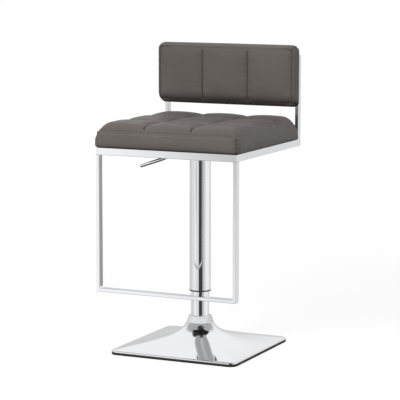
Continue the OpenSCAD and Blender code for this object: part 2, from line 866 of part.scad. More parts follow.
// A footrest leg: upright flat tube, mitred to the bar at its foot, welded at both inner corners
module footrest_leg(side) {
    leg_y = -half_d + bar_broad / 2;
    color(chrome_frame) {
        intersection() {
            translate([side * (half_w - bar_narrow / 2), leg_y, footrest_z])
                linear_extrude(frame_bottom - footrest_z) tube_section(bar_narrow, bar_broad);
            translate([0, -half_d + bar_broad + overrun, 0]) rotate([90, 0, 0])
                linear_extrude(bar_broad + 2 * overrun)
                    polygon([[side * half_w, footrest_z], [side * half_w, frame_bottom],
                        [side * inner_half_w, frame_bottom],
                        [side * inner_half_w, footrest_z + bar_narrow]]);
        }
        for (end = [0, 1]) let (depth = end == 0 ? bar_broad : bar_narrow)
            translate([side * inner_half_w, -half_d + depth - bar_edge_r,
                end == 0 ? footrest_z + bar_narrow : frame_bottom])
                rotate([90, 0, 0]) mirror([side > 0 ? 1 : 0, 0, 0]) mirror([0, end, 0])
                    linear_extrude(depth - 2 * bar_edge_r) weld_section();
    }
}

module footrest_leg_left() {
    footrest_leg(LEFT);
}

module footrest_leg_right() {
    footrest_leg(RIGHT);
}

module footrest_bar() {
    color(chrome_frame) intersection() {
        translate([0, -half_d + bar_broad / 2, footrest_z + bar_narrow / 2])
            rotate([90, 0, 90]) linear_extrude(seat_w, center = true)
                tube_section(bar_broad, bar_narrow);
        translate([0, -half_d + bar_broad + overrun, 0]) rotate([90, 0, 0])
            linear_extrude(bar_broad + 2 * overrun)
                polygon([[-half_w, footrest_z], [half_w, footrest_z],
                    [inner_half_w, footrest_z + bar_narrow],
                    [-inner_half_w, footrest_z + bar_narrow]]);
    }
}

// Cylinders along Y from y0 to y1 at the back screws of one side
module at_back_screws(side, y0, y1, r) {
    for (z = back_screw_zs) translate([side * back_screw_x, y1, z]) rotate([90, 0, 0])
        cylinder(h = y1 - y0, r = r);
}

module upright(side) {
    color(chrome_frame)
        translate([side * (half_w - bar_narrow / 2), half_d - bar_broad / 2, frame_top])
            linear_extrude(upright_top - frame_top) tube_section(bar_narrow, bar_broad);
}

module upright_left() {
    upright(LEFT);
}

module upright_right() {
    upright(RIGHT);
}

module upright_tabs() {
    color(chrome_frame) for (side = [LEFT, RIGHT]) difference() {
        for (z = back_screw_zs) translate([side * back_screw_x, inner_rear + tab_t, z])
            rotate([90, 0, 0]) linear_extrude(tab_t)
                rounded_rect(back_tab_w, back_tab_h, tab_corner_r);
        at_back_screws(side, inner_rear - overrun, inner_rear + tab_t + overrun,
            back_screw_r + bolt_hole_gap);
    }
}

module upright_caps() {
    plug_w = bar_narrow - 2 * bar_wall - 2 * press_gap;
    plug_d = bar_broad - 2 * bar_wall - 2 * press_gap;
    color(chrome_frame) for (side = [LEFT, RIGHT])
        translate([side * (half_w - bar_narrow / 2), half_d - bar_broad / 2, upright_top]) {
            linear_extrude(cap_t) rounded_rect(bar_narrow, bar_broad, bar_edge_r);
            translate([0, 0, -cap_plug_h]) linear_extrude(cap_plug_h)
                square([plug_w, plug_d], center = true);
        }
}

// Upholstery

// Grid lines across a pad with the given number of sewn panels, from -1 to 1
function pad_lines(panels) = [for (p = [0:panels - 1]) each [for (s = panel_line_shares)
    -1 + 2 * (p + s) / panels], 1];

// Height of a sewn panel above its seams, from 0 at a seam to 1 in the middle
function pillow(u, panels) = let (t = (u + 1) / 2 * panels)
    1 - pow(abs(2 * (t - floor(min(t, panels - 0.5))) - 1), pillow_power);

// Rise of the crown at a distance in from the edge, from 0 to 1
function rise(d, run) = 1 - pow(1 - min(d / run, 1), rise_power);

// A point of the pad's plan, where the square corners are drawn in to true arcs
function pad_point(u, v, a, b, r) = let (
    x = abs(u) * a,
    y = abs(v) * b,
    s = (x - a + r) / r,
    t = (y - b + r) / r,
    in_corner = s > 0 && t > 0)
    [sign(u) * (in_corner ? a - r + r * s * sqrt(1 - t * t / 2) : x),
        sign(v) * (in_corner ? b - r + r * t * sqrt(1 - s * s / 2) : y)];

// The edge of the grid as [u, v], once round
function pad_edge(us, vs) = let (n = len(us) - 1, m = len(vs) - 1) concat(
    [for (i = [0:n - 1]) [i, 0]], [for (j = [0:m - 1]) [n, j]],
    [for (i = [n:-1:1]) [i, m]], [for (j = [m:-1:1]) [0, j]]);

// A stuffed pad standing on z = 0: a crowned, sewn top, boxed sides that bulge between their
// edges, and a pocket in the underside for a board. size is [half width, half depth].
module stuffed_pad(size, corner, boxing, crown, tuft, panels, edge_run, bulge, pocket_in,
    pocket_h) {
    us = pad_lines(panels[0]);
    vs = pad_lines(panels[1]);
    n = len(us);
    m = len(vs);
    edge = pad_edge(us, vs);
    count = len(edge);
    top = [for (j = [0:m - 1], i = [0:n - 1]) let (
        p = pad_point(us[i], vs[j], size[0], size[1], corner),
        lift = rise(size[0] - abs(p[0]), edge_run) * rise(size[1] - abs(p[1]), edge_run),
        puff = pillow(us[i], panels[0]) * pillow(vs[j], panels[1]))
        [p[0], p[1], boxing + lift * (crown + tuft * puff)]];
    loops = concat(
        [for (s = boxing_step_shares) let (out = bulge * 4 * s * (1 - s))
            [for (e = edge) let (p = pad_point(us[e[0]], vs[e[1]], size[0] + out,
                size[1] + out, corner + out)) [p[0], p[1], boxing * s]]],
        [for (z = [0, pocket_h]) [for (e = edge) let (p = pad_point(us[e[0]], vs[e[1]],
            size[0] - pocket_in, size[1] - pocket_in, corner - pocket_in)) [p[0], p[1], z]]]);
    rows = len(loops);
    side = n * m;
    rim = [for (e = edge) e[1] * n + e[0]];
    grid_faces = [for (j = [0:m - 2], i = [0:n - 2], half = [0, 1]) let (a = j * n + i)
        half == 0 ? [a, a + n, a + 1] : [a + 1, a + n, a + n + 1]];
    seam_faces = [for (k = [0:count - 1], half = [0, 1]) let (k2 = (k + 1) % count)
        half == 0 ? [rim[k], rim[k2], side + k] : [rim[k2], side + k2, side + k]];
    loop_faces = [for (r = [0:rows - 2], k = [0:count - 1], half = [0, 1]) let (
        a = side + r * count + k,
        b = side + r * count + (k + 1) % count)
        half == 0 ? [a, b, a + count] : [b, b + count, a + count]];
    ceiling = [for (k = [count - 1:-1:0]) side + (rows - 1) * count + k];
    polyhedron(points = concat(top, [for (l = loops) each l]),
        faces = concat(grid_faces, seam_faces, loop_faces, [reversed(ceiling)]));
}

leatherette = [0.42, 0.4, 0.38];

module seat_cushion() {
    color(leatherette) translate([0, cushion_mid_y, frame_top + soft_gap])
        stuffed_pad([half_w, cushion_half_d], seat_corner_r, seat_boxing, seat_crown, seat_tuft,
            [seat_panels, seat_panels], seat_edge_run, seat_bulge, wrap_margin, board_t);
}

module seat_board() {
    color([0.72, 0.58, 0.4]) difference() {
        translate([0, cushion_mid_y, frame_top]) linear_extrude(board_t)
            rounded_rect(2 * board_half_w, 2 * board_half_d, board_corner_r);
        translate([0, 0, frame_top - overrun]) at_corners(plate_bolt_x, plate_bolt_y)
            cylinder(h = plate_bolt_bite + overrun + press_gap, r = plate_bolt_r + press_gap);
        translate([0, 0, frame_top - overrun]) at_tabs()
            cylinder(h = board_screw_bite + overrun + press_gap, r = board_screw_r + press_gap);
    }
}

module board_screws() {
    color([0.6, 0.6, 0.62]) at_tabs()
        translate([0, 0, frame_top - tab_t - board_screw_head_h]) {
            cylinder(h = board_screw_head_h, r = board_screw_head_r);
            cylinder(h = board_screw_head_h + tab_t + board_screw_bite, r = board_screw_r);
        }
}

module back_cushion() {
    color(leatherette) translate([0, back_rear, back_mid]) rotate([90, 0, 0])
        stuffed_pad([back_w / 2, back_h / 2], back_corner_r, back_boxing, back_crown, back_tuft,
            [back_channels, 1], back_edge_run, back_bulge, wrap_margin, back_board_t);
}

// A flat panel across the back rest, from y0 forwards, with screw holes of radius hole_r
module back_sheet(margin, ease, y0, t, hole_r) {
    difference() {
        translate([0, y0, back_mid]) rotate([90, 0, 0]) linear_extrude(t)
            rounded_rect(back_w - 2 * margin, back_h - 2 * margin, back_corner_r - margin + ease);
        for (side = [LEFT, RIGHT])
            at_back_screws(side, y0 - t - overrun, y0 + overrun, hole_r);
    }
}

module back_board() {
    color([0.72, 0.58, 0.4]) back_sheet(wrap_margin + soft_gap, board_ease,
        inner_rear - back_panel_t, back_board_t, back_screw_r + press_gap);
}

module back_panel() {
    color(leatherette) back_sheet(back_panel_margin, 0, inner_rear, back_panel_t,
        back_screw_r + bolt_hole_gap);
}

module back_screws() {
    tip_y = inner_rear - back_panel_t - back_screw_bite;
    head_y = inner_rear + tab_t;
    color([0.7, 0.7, 0.72]) for (side = [LEFT, RIGHT]) {
        at_back_screws(side, tip_y, head_y, back_screw_r);
        at_back_screws(side, head_y, head_y + back_screw_head_h, back_screw_head_r);
    }
}

base_cover();
base_weight();
base_edge_seal();
column_flange();
flange_bolts();
flange_washers();
lower_tube();
collar_ring();
guide_bush();
rod_seat();
bearing_lower_race();
bearing_cage();
bearing_balls();
bearing_upper_race();
piston_rod();
piston();
piston_seal();
rod_washer();
rod_clip();
rod_buffer();
gas_cylinder();
cylinder_guide();
valve_body();
valve_button();
cover_tube();
cover_tube_ring();
cover_tube_cap();
taper_socket();
mounting_plate();
plate_bolts();
plate_washers();
lever_rod();
lever_grip();
lever_pin();
seat_rail_left();
seat_rail_right();
frame_front_beam();
frame_rear_beam();
frame_side_beam_left();
frame_side_beam_right();
frame_tabs();
footrest_leg_left();
footrest_leg_right();
footrest_bar();
upright_left();
upright_right();
upright_tabs();
upright_caps();
seat_board();
board_screws();
seat_cushion();
back_board();
back_panel();
back_cushion();
back_screws();
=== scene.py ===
"""Looks of the adjustable bar stool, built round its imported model.

Metres, +Z up, the stool faces -Y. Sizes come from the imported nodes' boxes where they can.
"""
import json
import math

import bpy
import numpy as np
from mathutils import Matrix, Vector


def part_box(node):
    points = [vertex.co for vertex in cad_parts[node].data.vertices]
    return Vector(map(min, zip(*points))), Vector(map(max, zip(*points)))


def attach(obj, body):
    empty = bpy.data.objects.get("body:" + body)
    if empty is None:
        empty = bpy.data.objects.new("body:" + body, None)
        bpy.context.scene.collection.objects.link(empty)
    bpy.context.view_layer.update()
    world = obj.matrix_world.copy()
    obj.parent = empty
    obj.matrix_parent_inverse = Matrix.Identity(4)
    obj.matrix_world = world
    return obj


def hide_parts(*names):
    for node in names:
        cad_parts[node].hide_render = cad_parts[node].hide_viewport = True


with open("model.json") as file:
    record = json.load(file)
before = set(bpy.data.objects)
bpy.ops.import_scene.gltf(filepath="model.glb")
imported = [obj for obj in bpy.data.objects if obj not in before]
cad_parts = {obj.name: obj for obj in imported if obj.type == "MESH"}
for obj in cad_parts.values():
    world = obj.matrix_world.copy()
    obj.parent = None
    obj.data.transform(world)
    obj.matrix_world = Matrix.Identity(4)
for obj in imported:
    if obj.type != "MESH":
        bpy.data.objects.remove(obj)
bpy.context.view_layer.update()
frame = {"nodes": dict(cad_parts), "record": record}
MM = 0.001

# Camera, solved from the photo in its 400 pixel frame
FRAME_PX = 400
FOCAL_PX = 1855.0
CAMERA_AZIMUTH = 25.07
CAMERA_ELEVATION = 7.98
CAMERA_ROLL = 0.08
CAMERA_DISTANCE = 5.192
TARGET_SIDE = -0.0008
TARGET_HEIGHT = 0.4214

# Seat cushion
SEAT_PANELS = 3
SEAT_CORNER_R = 16 * MM
SEAT_BULGE = 7.5 * MM
SEAT_BOXING = 40 * MM
SEAT_CROWN = 24 * MM
SEAT_TUFT = 6.5 * MM
SEAT_EDGE_RUN = 32 * MM
SEAT_POCKET_DEPTH = 12 * MM
SEAT_WIDEST = 0.3
SEAT_LOW_SHARE = 0.65
SEAT_REAR_REACH = 10.5 * MM
SEAT_REAR_RUN = 8 * MM
SEAT_HOLD_FADE = 12 * MM
SEAT_PRESSURE = 3.0
SEAT_SWELL = 5 * MM
SEAT_RIM_LEAST = 0.25
SEAT_RIM_FADE = (30 * MM, 100 * MM)

# Back cushion
BACK_CHANNELS = 3
BACK_CORNER_R = 14 * MM
BACK_BULGE = 7.5 * MM
BACK_BOXING = 38 * MM
BACK_CROWN = 5 * MM
BACK_TUFT = 3 * MM
BACK_EDGE_RUN = 26 * MM
BACK_POCKET_DEPTH = 9 * MM
BACK_WIDEST = 0.45
BACK_LOW_SHARE = 0.2
BACK_TUCK = 9 * MM
BACK_TUCK_RUN = 30 * MM
# Painted shade on the back's tucked lower edge, darkest at the bottom
BACK_TUCK_DARK = 0.6
BACK_HOLD_FADE = 9 * MM
BACK_PRESSURE = 2.5
BACK_SWELL = 4 * MM
BACK_RIM_LEAST = 0.3
BACK_RIM_FADE = (10 * MM, 40 * MM)

# Panel that closes the back rest from behind
PANEL_GRID = (48, 20)
PANEL_ROLL = 0.9 * MM
PANEL_CORNER_R = 10 * MM
PANEL_CROWN = 0.4 * MM
PANEL_CROWN_POWERS = (8, 6)
PANEL_TOP = 0.5 * MM
PANEL_EDGE_STEPS = 8

# How the covers are sewn: where the face's seams start, over what length they come in at their
# first and last end, how deep their sharp crease and their wide valley are, how far their painted
# shade reaches, how deep the boxing's seam is pressed and how dark its painted shade is just over
# and just under its bead, and how dark the painted contact shadow along the foot is
SEAT_SEWING = {"margin": 4 * MM, "fades": (8 * MM, 55 * MM), "side_fades": (16 * MM, 16 * MM),
               "crease": 3.4 * MM, "valley": 4.0 * MM, "dark": 2.7 * MM,
               "over": 1.3 * MM, "over_run": 2.4 * MM, "over_dark": 0.35,
               "under": 0.2 * MM, "under_dark": 0.0, "foot_dark": 0.75}
BACK_SEWING = {"margin": 3 * MM, "fades": (4 * MM, 14 * MM), "side_fades": (4 * MM, 4 * MM),
               "crease": 2.4 * MM, "valley": 3.0 * MM, "dark": 1.9 * MM,
               "over": 4.2 * MM, "over_run": 5 * MM, "over_dark": 0.9,
               "under": 1.6 * MM, "under_dark": 0.7, "foot_dark": 0.0}

# Both cushions
WRAP_MARGIN = 6 * MM
CLOTH_STEP = 5.0 * MM
SEAM_LINES = (1.4 * MM, 3.6 * MM, 7.4 * MM)
SEAM_REACH = 40 * MM
EDGE_ROLL = 3 * MM
PILLOW_POWER = 2.4
RISE_POWER = 2.6
CLOTH_FRAMES = 20
CLOTH = {"quality": 6, "mass": 0.3, "tension_stiffness": 12, "compression_stiffness": 12,
         "shear_stiffness": 5, "bending_stiffness": 0.6, "pin_stiffness": 1,
         "use_pressure": True}

# Sewing on both cushions: the width of a crease, valley, bead or painted shade is how far it
# reaches from its seam, folds are a height, pitch and reach, and a stitch is a thread radius and
# lift
CREASE_WIDTH = 1.7 * MM
VALLEY_WIDTH = 10 * MM
UNDER_WIDTH = 2.0 * MM
BEAD_AND_WIDTH = (-1.5 * MM, 1.6 * MM)
CORNER_CREASE_AND_WIDTH = (2.2 * MM, 1.8 * MM)
SEAM_FOLDS = (0.6 * MM, 15 * MM, 9 * MM)
RIM_FOLDS = (0.5 * MM, 24 * MM, 7 * MM)
CORNER_FOLDS = (1.5 * MM, 12 * MM, 6 * MM)
RIM_SEED = 20
CORNER_SEED = 30
# Painted shade in the cover's colour: how dark it is in the face's seams, how dark and wide at the
# corners, and how wide just over and under the bead and along the foot, where it stands for a
# contact shadow
SEAM_DARK = 0.95
CORNER_DARK_AND_WIDTH = (0.35, 3.5 * MM)
OVER_DARK_WIDTH = 1.6 * MM
UNDER_DARK_WIDTH = 1.2 * MM
FOOT_DARK_WIDTH = 4 * MM
STITCH_PITCH = 5.5 * MM
STITCH_LENGTH = 4.2 * MM
STITCH_TIP = 0.35
RIM_STITCH = (0.45 * MM, 0.35 * MM)
SEAM_STITCH = (0.36 * MM, 0.3 * MM)

# Base and column
BASE_CORNER_R = 22 * MM
RIM_ROUND = 3 * MM
RIM_H = 12 * MM
NECK_R = 38 * MM
NECK_GAP = 0.5 * MM
COVER_SHEET = 1.5 * MM
NECK_FILLET = 24 * MM
NECK_FILLET_RUN = 14 * MM
FLARE_STEPS = 72
FLARE_STEP_POWER = 1.8
RIM_STEPS = 8
SEAL_LIP = 0.8 * MM
SEAL_LIP_H = 2.2 * MM
SEAL_CLEAR = 0.05 * MM
SEAL_DEPTH = 6 * MM
OUTLINE_STEPS = 40
ROUND_STEPS = 160
ROUND_SHARP_DEGREES = 30
COVER_TUBE_WALL = 1.5 * MM
COVER_TUBE_EDGE = 0.5 * MM
LOWER_TUBE_WALL = 2 * MM
LOWER_TUBE_EDGE = 0.6 * MM
BUSH_LIP = 0.4 * MM
BUSH_LIP_H = 1.2 * MM
BUSH_GAP = 0.4 * MM
BUSH_PLAY = 0.1 * MM
COLLAR_GAP = 0.3 * MM
COLLAR_TOP = 5 * MM
COLLAR_DRAFT = 1.5 * MM
SHARP_DEGREES = 35

# Studio: the tent that the chrome reflects, as a shade for each heading from the camera's own,
# and its dark gap, which every upright round part reflects
TENT_PANELS = ((-180, 0.64), (-130, 0.68), (-102, 0.72), (-66, 1.0), (-44, 0.82), (-18, 0.8),
               (24, 0.45), (40, 0.6), (66, 0.96), (94, 0.98), (130, 0.78), (180, 0.64))
GAP_HEADING = 4
GAP_HALF_WIDTH = 20.5
GAP_SOFTNESS = 2
GAP_ENDS = (70, 88)
GAP_FADES = (8, 36)
GAP_SHADE = 0.09
GAP_HIGH_SHADE = 0.75
BEHIND_FROM = (100, 140)
BACK_CEILING_FROM = (7, 27)
BACK_CEILING_SHADE = 0.97
FRONT_CEILING_FROM = (12, 34)
FRONT_CEILING_SHADE = 0.43
OVERHEAD_FROM = (66, 84)
BELOW_FROM = (-40, -14)
BELOW_SHADE = 0.1

# Soft flags and glows in the tent: heading, height, half width, half height, shade and soft edge
FLAGS = ((-46, -4, 7.5, 7.5, 0.5, 0.8), (126.8, -9, 3.2, 6.5, 0.42, 0.5),
         (-54, -9, 6, 8, 1.14, 0.7), (4, 63, 48, 17, 0.14, 0.4),
         (4, 38, 30, 14, 1.9, 0.6))

# Lamps: name, place, aim, size and watts
LAMPS = (("key", (-0.8, -2.6, 2.1), (0, 0, 0.5), 1.6, 76),
         ("side", (2.4, -1.2, 1.6), (0, 0, 0.5), 1.4, 25),
         ("top", (0.2, 0.5, 2.8), (0, 0, 0.6), 2.0, 14))

FILL_LEVEL = 0.26
FLOOR_TONE = 0.25
FLOOR_GLOW = (0.81, 0.95)
FLOOR_GLOW_REACH = (0.3, 4.2)
FLOOR_SIZE = 120


# Helpers

def box(node):
    """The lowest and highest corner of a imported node, as vectors."""
    low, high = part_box(node)
    return Vector(low), Vector(high)


def vectors(items, key):
    flat = np.empty(len(items) * 3)
    items.foreach_get(key, flat)
    return flat.reshape(-1, 3)


def positions(mesh):
    return vectors(mesh.vertices, "co")


def set_positions(mesh, points):
    mesh.vertices.foreach_set("co", np.asarray(points, float).ravel())
    mesh.update()


def vertex_normals(mesh):
    return vectors(mesh.vertex_normals, "vector")


def add_object(name, data):
    made = bpy.data.objects.new(name, data)
    bpy.context.scene.collection.objects.link(made)
    return made


def make_object(name, points, faces, material, sharp_degrees=None):
    mesh = bpy.data.meshes.new(name)
    mesh.from_pydata([tuple(p) for p in points], [], faces)
    mesh.update()
    mesh.materials.append(material)
    mesh.shade_smooth()
    if sharp_degrees is not None:
        mesh.set_sharp_from_angle(angle=math.radians(sharp_degrees))
    return add_object(name, mesh)


def dress(piece, body, slot, *nodes):
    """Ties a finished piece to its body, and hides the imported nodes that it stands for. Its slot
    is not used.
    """
    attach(piece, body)
    if nodes:
        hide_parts(*nodes)


def mix(a, b, t):
    return a + (b - a) * t


# Materials

def tune(made, values):
    """Sets a shader node: a value whose name is an input sets it, any other is a property."""
    for key, value in values.items():
        title = key.replace("_", " ").title()
        if title in made.inputs:
            made.inputs[title].default_value = value
        else:
            setattr(made, key, value)
    return made


def node(tree, kind, **values):
    return tune(tree.nodes.new(kind), values)


def new_material(name, **values):
    material = bpy.data.materials.new(name)
    material.use_nodes = True
    tree = material.node_tree
    return material, tree, tune(tree.nodes["Principled BSDF"], values)


def feed(tree, socket, value):
    """Gives an input a number, or links another node's output to it."""
    if isinstance(value, (int, float)):
        socket.default_value = value
    else:
        tree.links.new(value, socket)


def object_coords(tree, stretch=(1, 1, 1)):
    coords = tree.nodes.new("ShaderNodeTexCoord")
    mapping = node(tree, "ShaderNodeMapping", scale=stretch)
    tree.links.new(coords.outputs["Object"], mapping.inputs["Vector"])
    return mapping.outputs["Vector"]


def noise(tree, coords, scale, detail=4.0, roughness=0.5):
    made = node(tree, "ShaderNodeTexNoise", scale=scale, detail=detail, roughness=roughness)
    tree.links.new(coords, made.inputs["Vector"])
    return made.outputs["Fac"]


def smooth_step(tree, value, start, end, first, last):
    """Goes smoothly from first, where the value is at start, to last, where it is at end."""
    made = node(tree, "ShaderNodeMapRange", clamp=True, interpolation_type="SMOOTHSTEP")
    for title, amount in zip(("Value", "From Min", "From Max", "To Min", "To Max"),
                             (value, start, end, first, last)):
        feed(tree, made.inputs[title], amount)
    return made.outputs["Result"]


def ramp(tree, factor, low, high, low_at=0.3, high_at=0.7):
    """A two-stop ramp from low to high, as greys or colours."""
    made = tree.nodes.new("ShaderNodeValToRGB")
    stops = made.color_ramp.elements
    for stop, at, value in ((stops[0], low_at, low), (stops[1], high_at, high)):
        stop.position = at
        stop.color = (value, value, value, 1) if isinstance(value, float) else (*value, 1)
    tree.links.new(factor, made.inputs["Fac"])
    return made.outputs["Color"]


def bump(tree, shader, height, distance, strength=1.0, under=None):
    made = node(tree, "ShaderNodeBump", strength=strength, distance=distance)
    tree.links.new(height, made.inputs["Height"])
    if under is not None:
        tree.links.new(under, made.inputs["Normal"])
    tree.links.new(made.outputs["Normal"], shader.inputs["Normal"])
    return made.outputs["Normal"]


def chrome_material(name="polished_chrome", smoothest=0.045, roughest=0.1,
                    tone=(0.87, 0.875, 0.89), metallic=1):
    """Chrome with faint wipe marks and a slight waviness under the plating."""
    material, tree, shader = new_material(name, base_color=(*tone, 1), metallic=metallic)
    wipes = noise(tree, object_coords(tree, (1, 1, 0.25)), 45, 5)
    tree.links.new(ramp(tree, wipes, smoothest, roughest), shader.inputs["Roughness"])
    bump(tree, shader, noise(tree, object_coords(tree), 30, 2), 0.0004, 0.06)
    return material


def leatherette_material():
    """Soft taupe leatherette: pebbled grain, faint creases, and a painted shade that the cover's
    points carry, darkest down in the sewn grooves.
    """
    material, tree, shader = new_material("taupe_leatherette", sheen_weight=0.03,
                                          sheen_roughness=0.5)
    coords = object_coords(tree)
    tone = noise(tree, coords, 9, 3)
    colour = ramp(tree, tone, (0.106, 0.094, 0.085), (0.125, 0.111, 0.101))
    # A painted shade, which the cover's points carry, darkens the colour in the seams' creases, over
    # and under the bead, along the foot and on the back's tucked lower edge
    groove = node(tree, "ShaderNodeAttribute", attribute_name="groove")
    shaded_colour = node(tree, "ShaderNodeMix", data_type="RGBA")
    shaded_colour.inputs["B"].default_value = (0.018, 0.012, 0.01, 1)
    tree.links.new(groove.outputs["Fac"], shaded_colour.inputs["Factor"])
    tree.links.new(colour, shaded_colour.inputs["A"])
    tree.links.new(shaded_colour.outputs["Result"], shader.inputs["Base Color"])
    shader.inputs["Specular IOR Level"].default_value = 0.32
    cells = node(tree, "ShaderNodeTexVoronoi", scale=900.0, feature="DISTANCE_TO_EDGE")
    tree.links.new(coords, cells.inputs["Vector"])
    pebbles = ramp(tree, cells.outputs["Distance"], 0.0, 1.0, 0.0, 0.35)
    tree.links.new(ramp(tree, noise(tree, coords, 60, 4), 0.43, 0.56), shader.inputs["Roughness"])
    grain = bump(tree, shader, pebbles, 0.00012, 0.5)
    bump(tree, shader, noise(tree, coords, 55, 5, 0.6), 0.0009, 0.22, grain)
    return material


def thread_material():
    """Twisted sewing thread, a shade lighter than the cover."""
    material, tree, shader = new_material("sewing_thread", roughness=0.6, sheen_weight=0.2)
    coords = object_coords(tree)
    colour = ramp(tree, noise(tree, coords, 400, 2), (0.3, 0.283, 0.268), (0.39, 0.37, 0.352))
    tree.links.new(colour, shader.inputs["Base Color"])
    bump(tree, shader, noise(tree, coords, 2500, 2), 0.0001, 0.5)
    return material


def grained_material(name, tone, colours, wear, roughness, grain, depth, strength,
                     stretch=(1, 1, 1), metallic=0):
    """A plain finish: a drifting tone, uneven roughness and a fine grain.

    Tone and wear are noise scales, colours and roughness the lowest and highest value, and
    grain the scale, detail and unevenness of the noise that stands out by depth.
    """
    material, tree, shader = new_material(name, metallic=metallic)
    coords = object_coords(tree, stretch)
    tree.links.new(ramp(tree, noise(tree, coords, tone), *colours), shader.inputs["Base Color"])
    tree.links.new(ramp(tree, noise(tree, coords, wear), *roughness), shader.inputs["Roughness"])
    bump(tree, shader, noise(tree, coords, *grain), depth, strength)
    return material


def plywood_material():
    """Dark-stained plywood with its long grain showing through."""
    material, tree, shader = new_material("stained_plywood", roughness=0.68)
    grain = noise(tree, object_coords(tree, (14, 1, 14)), 16, 6, 0.6)
    face = ramp(tree, grain, (0.05, 0.033, 0.024), (0.095, 0.066, 0.047))
    tree.links.new(face, shader.inputs["Base Color"])
    bump(tree, shader, grain, 0.0003, 0.35)
    return material


MATERIALS = {
    "chrome": chrome_material(),
    "leatherette": leatherette_material(),
    "rubber": grained_material(
        "black_rubber", tone=60, colours=((0.02, 0.019, 0.018), (0.04, 0.037, 0.035)),
        wear=35, roughness=(0.6, 0.8), grain=(700, 3), depth=0.2 * MM, strength=0.4),
    "plastic": grained_material(
        "moulded_plastic", tone=40, colours=((0.025, 0.024, 0.023), (0.04, 0.039, 0.038)),
        wear=90, roughness=(0.36, 0.5), grain=(1400, 2), depth=0.1 * MM, strength=0.3),
    "steel": grained_material(
        "zinc_plated_steel", tone=70, colours=((0.5, 0.51, 0.53), (0.64, 0.64, 0.63)),
        wear=110, roughness=(0.25, 0.42), grain=(600, 3), depth=0.1 * MM, strength=0.3,
        stretch=(1, 1, 6), metallic=1),
    "brass": grained_material(
        "turned_brass", tone=50, colours=((0.62, 0.46, 0.22), (0.76, 0.6, 0.33)),
        wear=100, roughness=(0.22, 0.38), grain=(500, 3), depth=0.1 * MM, strength=0.3,
        stretch=(1, 1, 8), metallic=1),
    "cast_iron": grained_material(
        "cast_iron", tone=25, colours=((0.085, 0.085, 0.09), (0.14, 0.14, 0.145)),
        wear=60, roughness=(0.55, 0.75), grain=(380, 5, 0.65), depth=0.6 * MM, strength=0.6),
    "black_steel": grained_material(
        "powder_coated_steel", tone=30, colours=((0.02, 0.02, 0.021), (0.032, 0.032, 0.034)),
        wear=50, roughness=(0.34, 0.46), grain=(420, 2), depth=0.2 * MM, strength=0.35),
    "plywood": plywood_material(),
}
THREAD = thread_material()
SATIN_CHROME = chrome_material("satin_chrome", 0.42, 0.52, (0.95, 0.95, 0.955), 0.15)


def dress_packed_nodes():
    """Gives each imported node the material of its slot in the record."""
    for part in frame["record"]["subparts"]:
        for held in frame["nodes"][part["node"]].material_slots:
            held.link = "OBJECT"
            held.material = MATERIALS[part["material_slot"]]


# Base cover and column

def outline_angles(per_eighth):
    """Angles once round the base, crowded towards its corners."""
    angles = []
    for eighth in range(8):
        for step in range(per_eighth):
            if eighth % 2 == 0:
                angles.append(45 * eighth + 45 * math.sin(math.pi / 2 * step / per_eighth))
            else:
                left = (per_eighth - step) / per_eighth
                angles.append(45 * (eighth + 1) - 45 * math.sin(math.pi / 2 * left))
    return np.radians(angles)


def square_reach(angles, half, r):
    """Distance from the centre to a rounded square at each angle."""
    fold = np.abs((angles + math.pi / 4) % (math.pi / 2) - math.pi / 4)
    straight = half - r
    along = straight * (np.cos(fold) + np.sin(fold))
    arc = along + np.sqrt(np.maximum(along ** 2 - 2 * straight ** 2 + r * r, 0))
    return np.where(fold <= math.atan(straight / half), half / np.cos(fold), arc)


def level(angles, size, squareness, corner, z):
    """One level of the base: a circle at squareness 0 and a rounded square at squareness 1."""
    reach = mix(size, square_reach(angles, size, corner), squareness)
    return np.column_stack([reach * np.cos(angles), reach * np.sin(angles),
                            np.full(len(angles), z)])


def skin_faces(rows, n):
    """Faces of a closed skin: its rows are rings of n points, and the last meets the first."""
    faces = []
    for i in range(rows):
        for k in range(n):
            a, b = i * n + k, i * n + (k + 1) % n
            c, d = (i + 1) % rows * n + k, (i + 1) % rows * n + (k + 1) % n
            faces.append((a, c, d, b))
    return faces


def rim_cells(n, m, inset=0):
    """Cells once round an n by m grid, at an inset from its rim."""
    low, right, back = inset, n - 1 - inset, m - 1 - inset
    return ([(i, low) for i in range(low, right)] + [(right, j) for j in range(low, back)]
            + [(i, back) for i in range(right, low, -1)]
            + [(low, j) for j in range(back, low, -1)])


def sheet_faces(n, m):
    return [(j * n + i, j * n + i + 1, (j + 1) * n + i + 1, (j + 1) * n + i)
            for j in range(m - 1) for i in range(n - 1)]


def strip_faces(rings):
    """Faces that join each ring of point numbers to the one below it."""
    n = len(rings[0])
    return [(above[k], below[k], below[(k + 1) % n], above[(k + 1) % n])
            for above, below in zip(rings, rings[1:]) for k in range(n)]


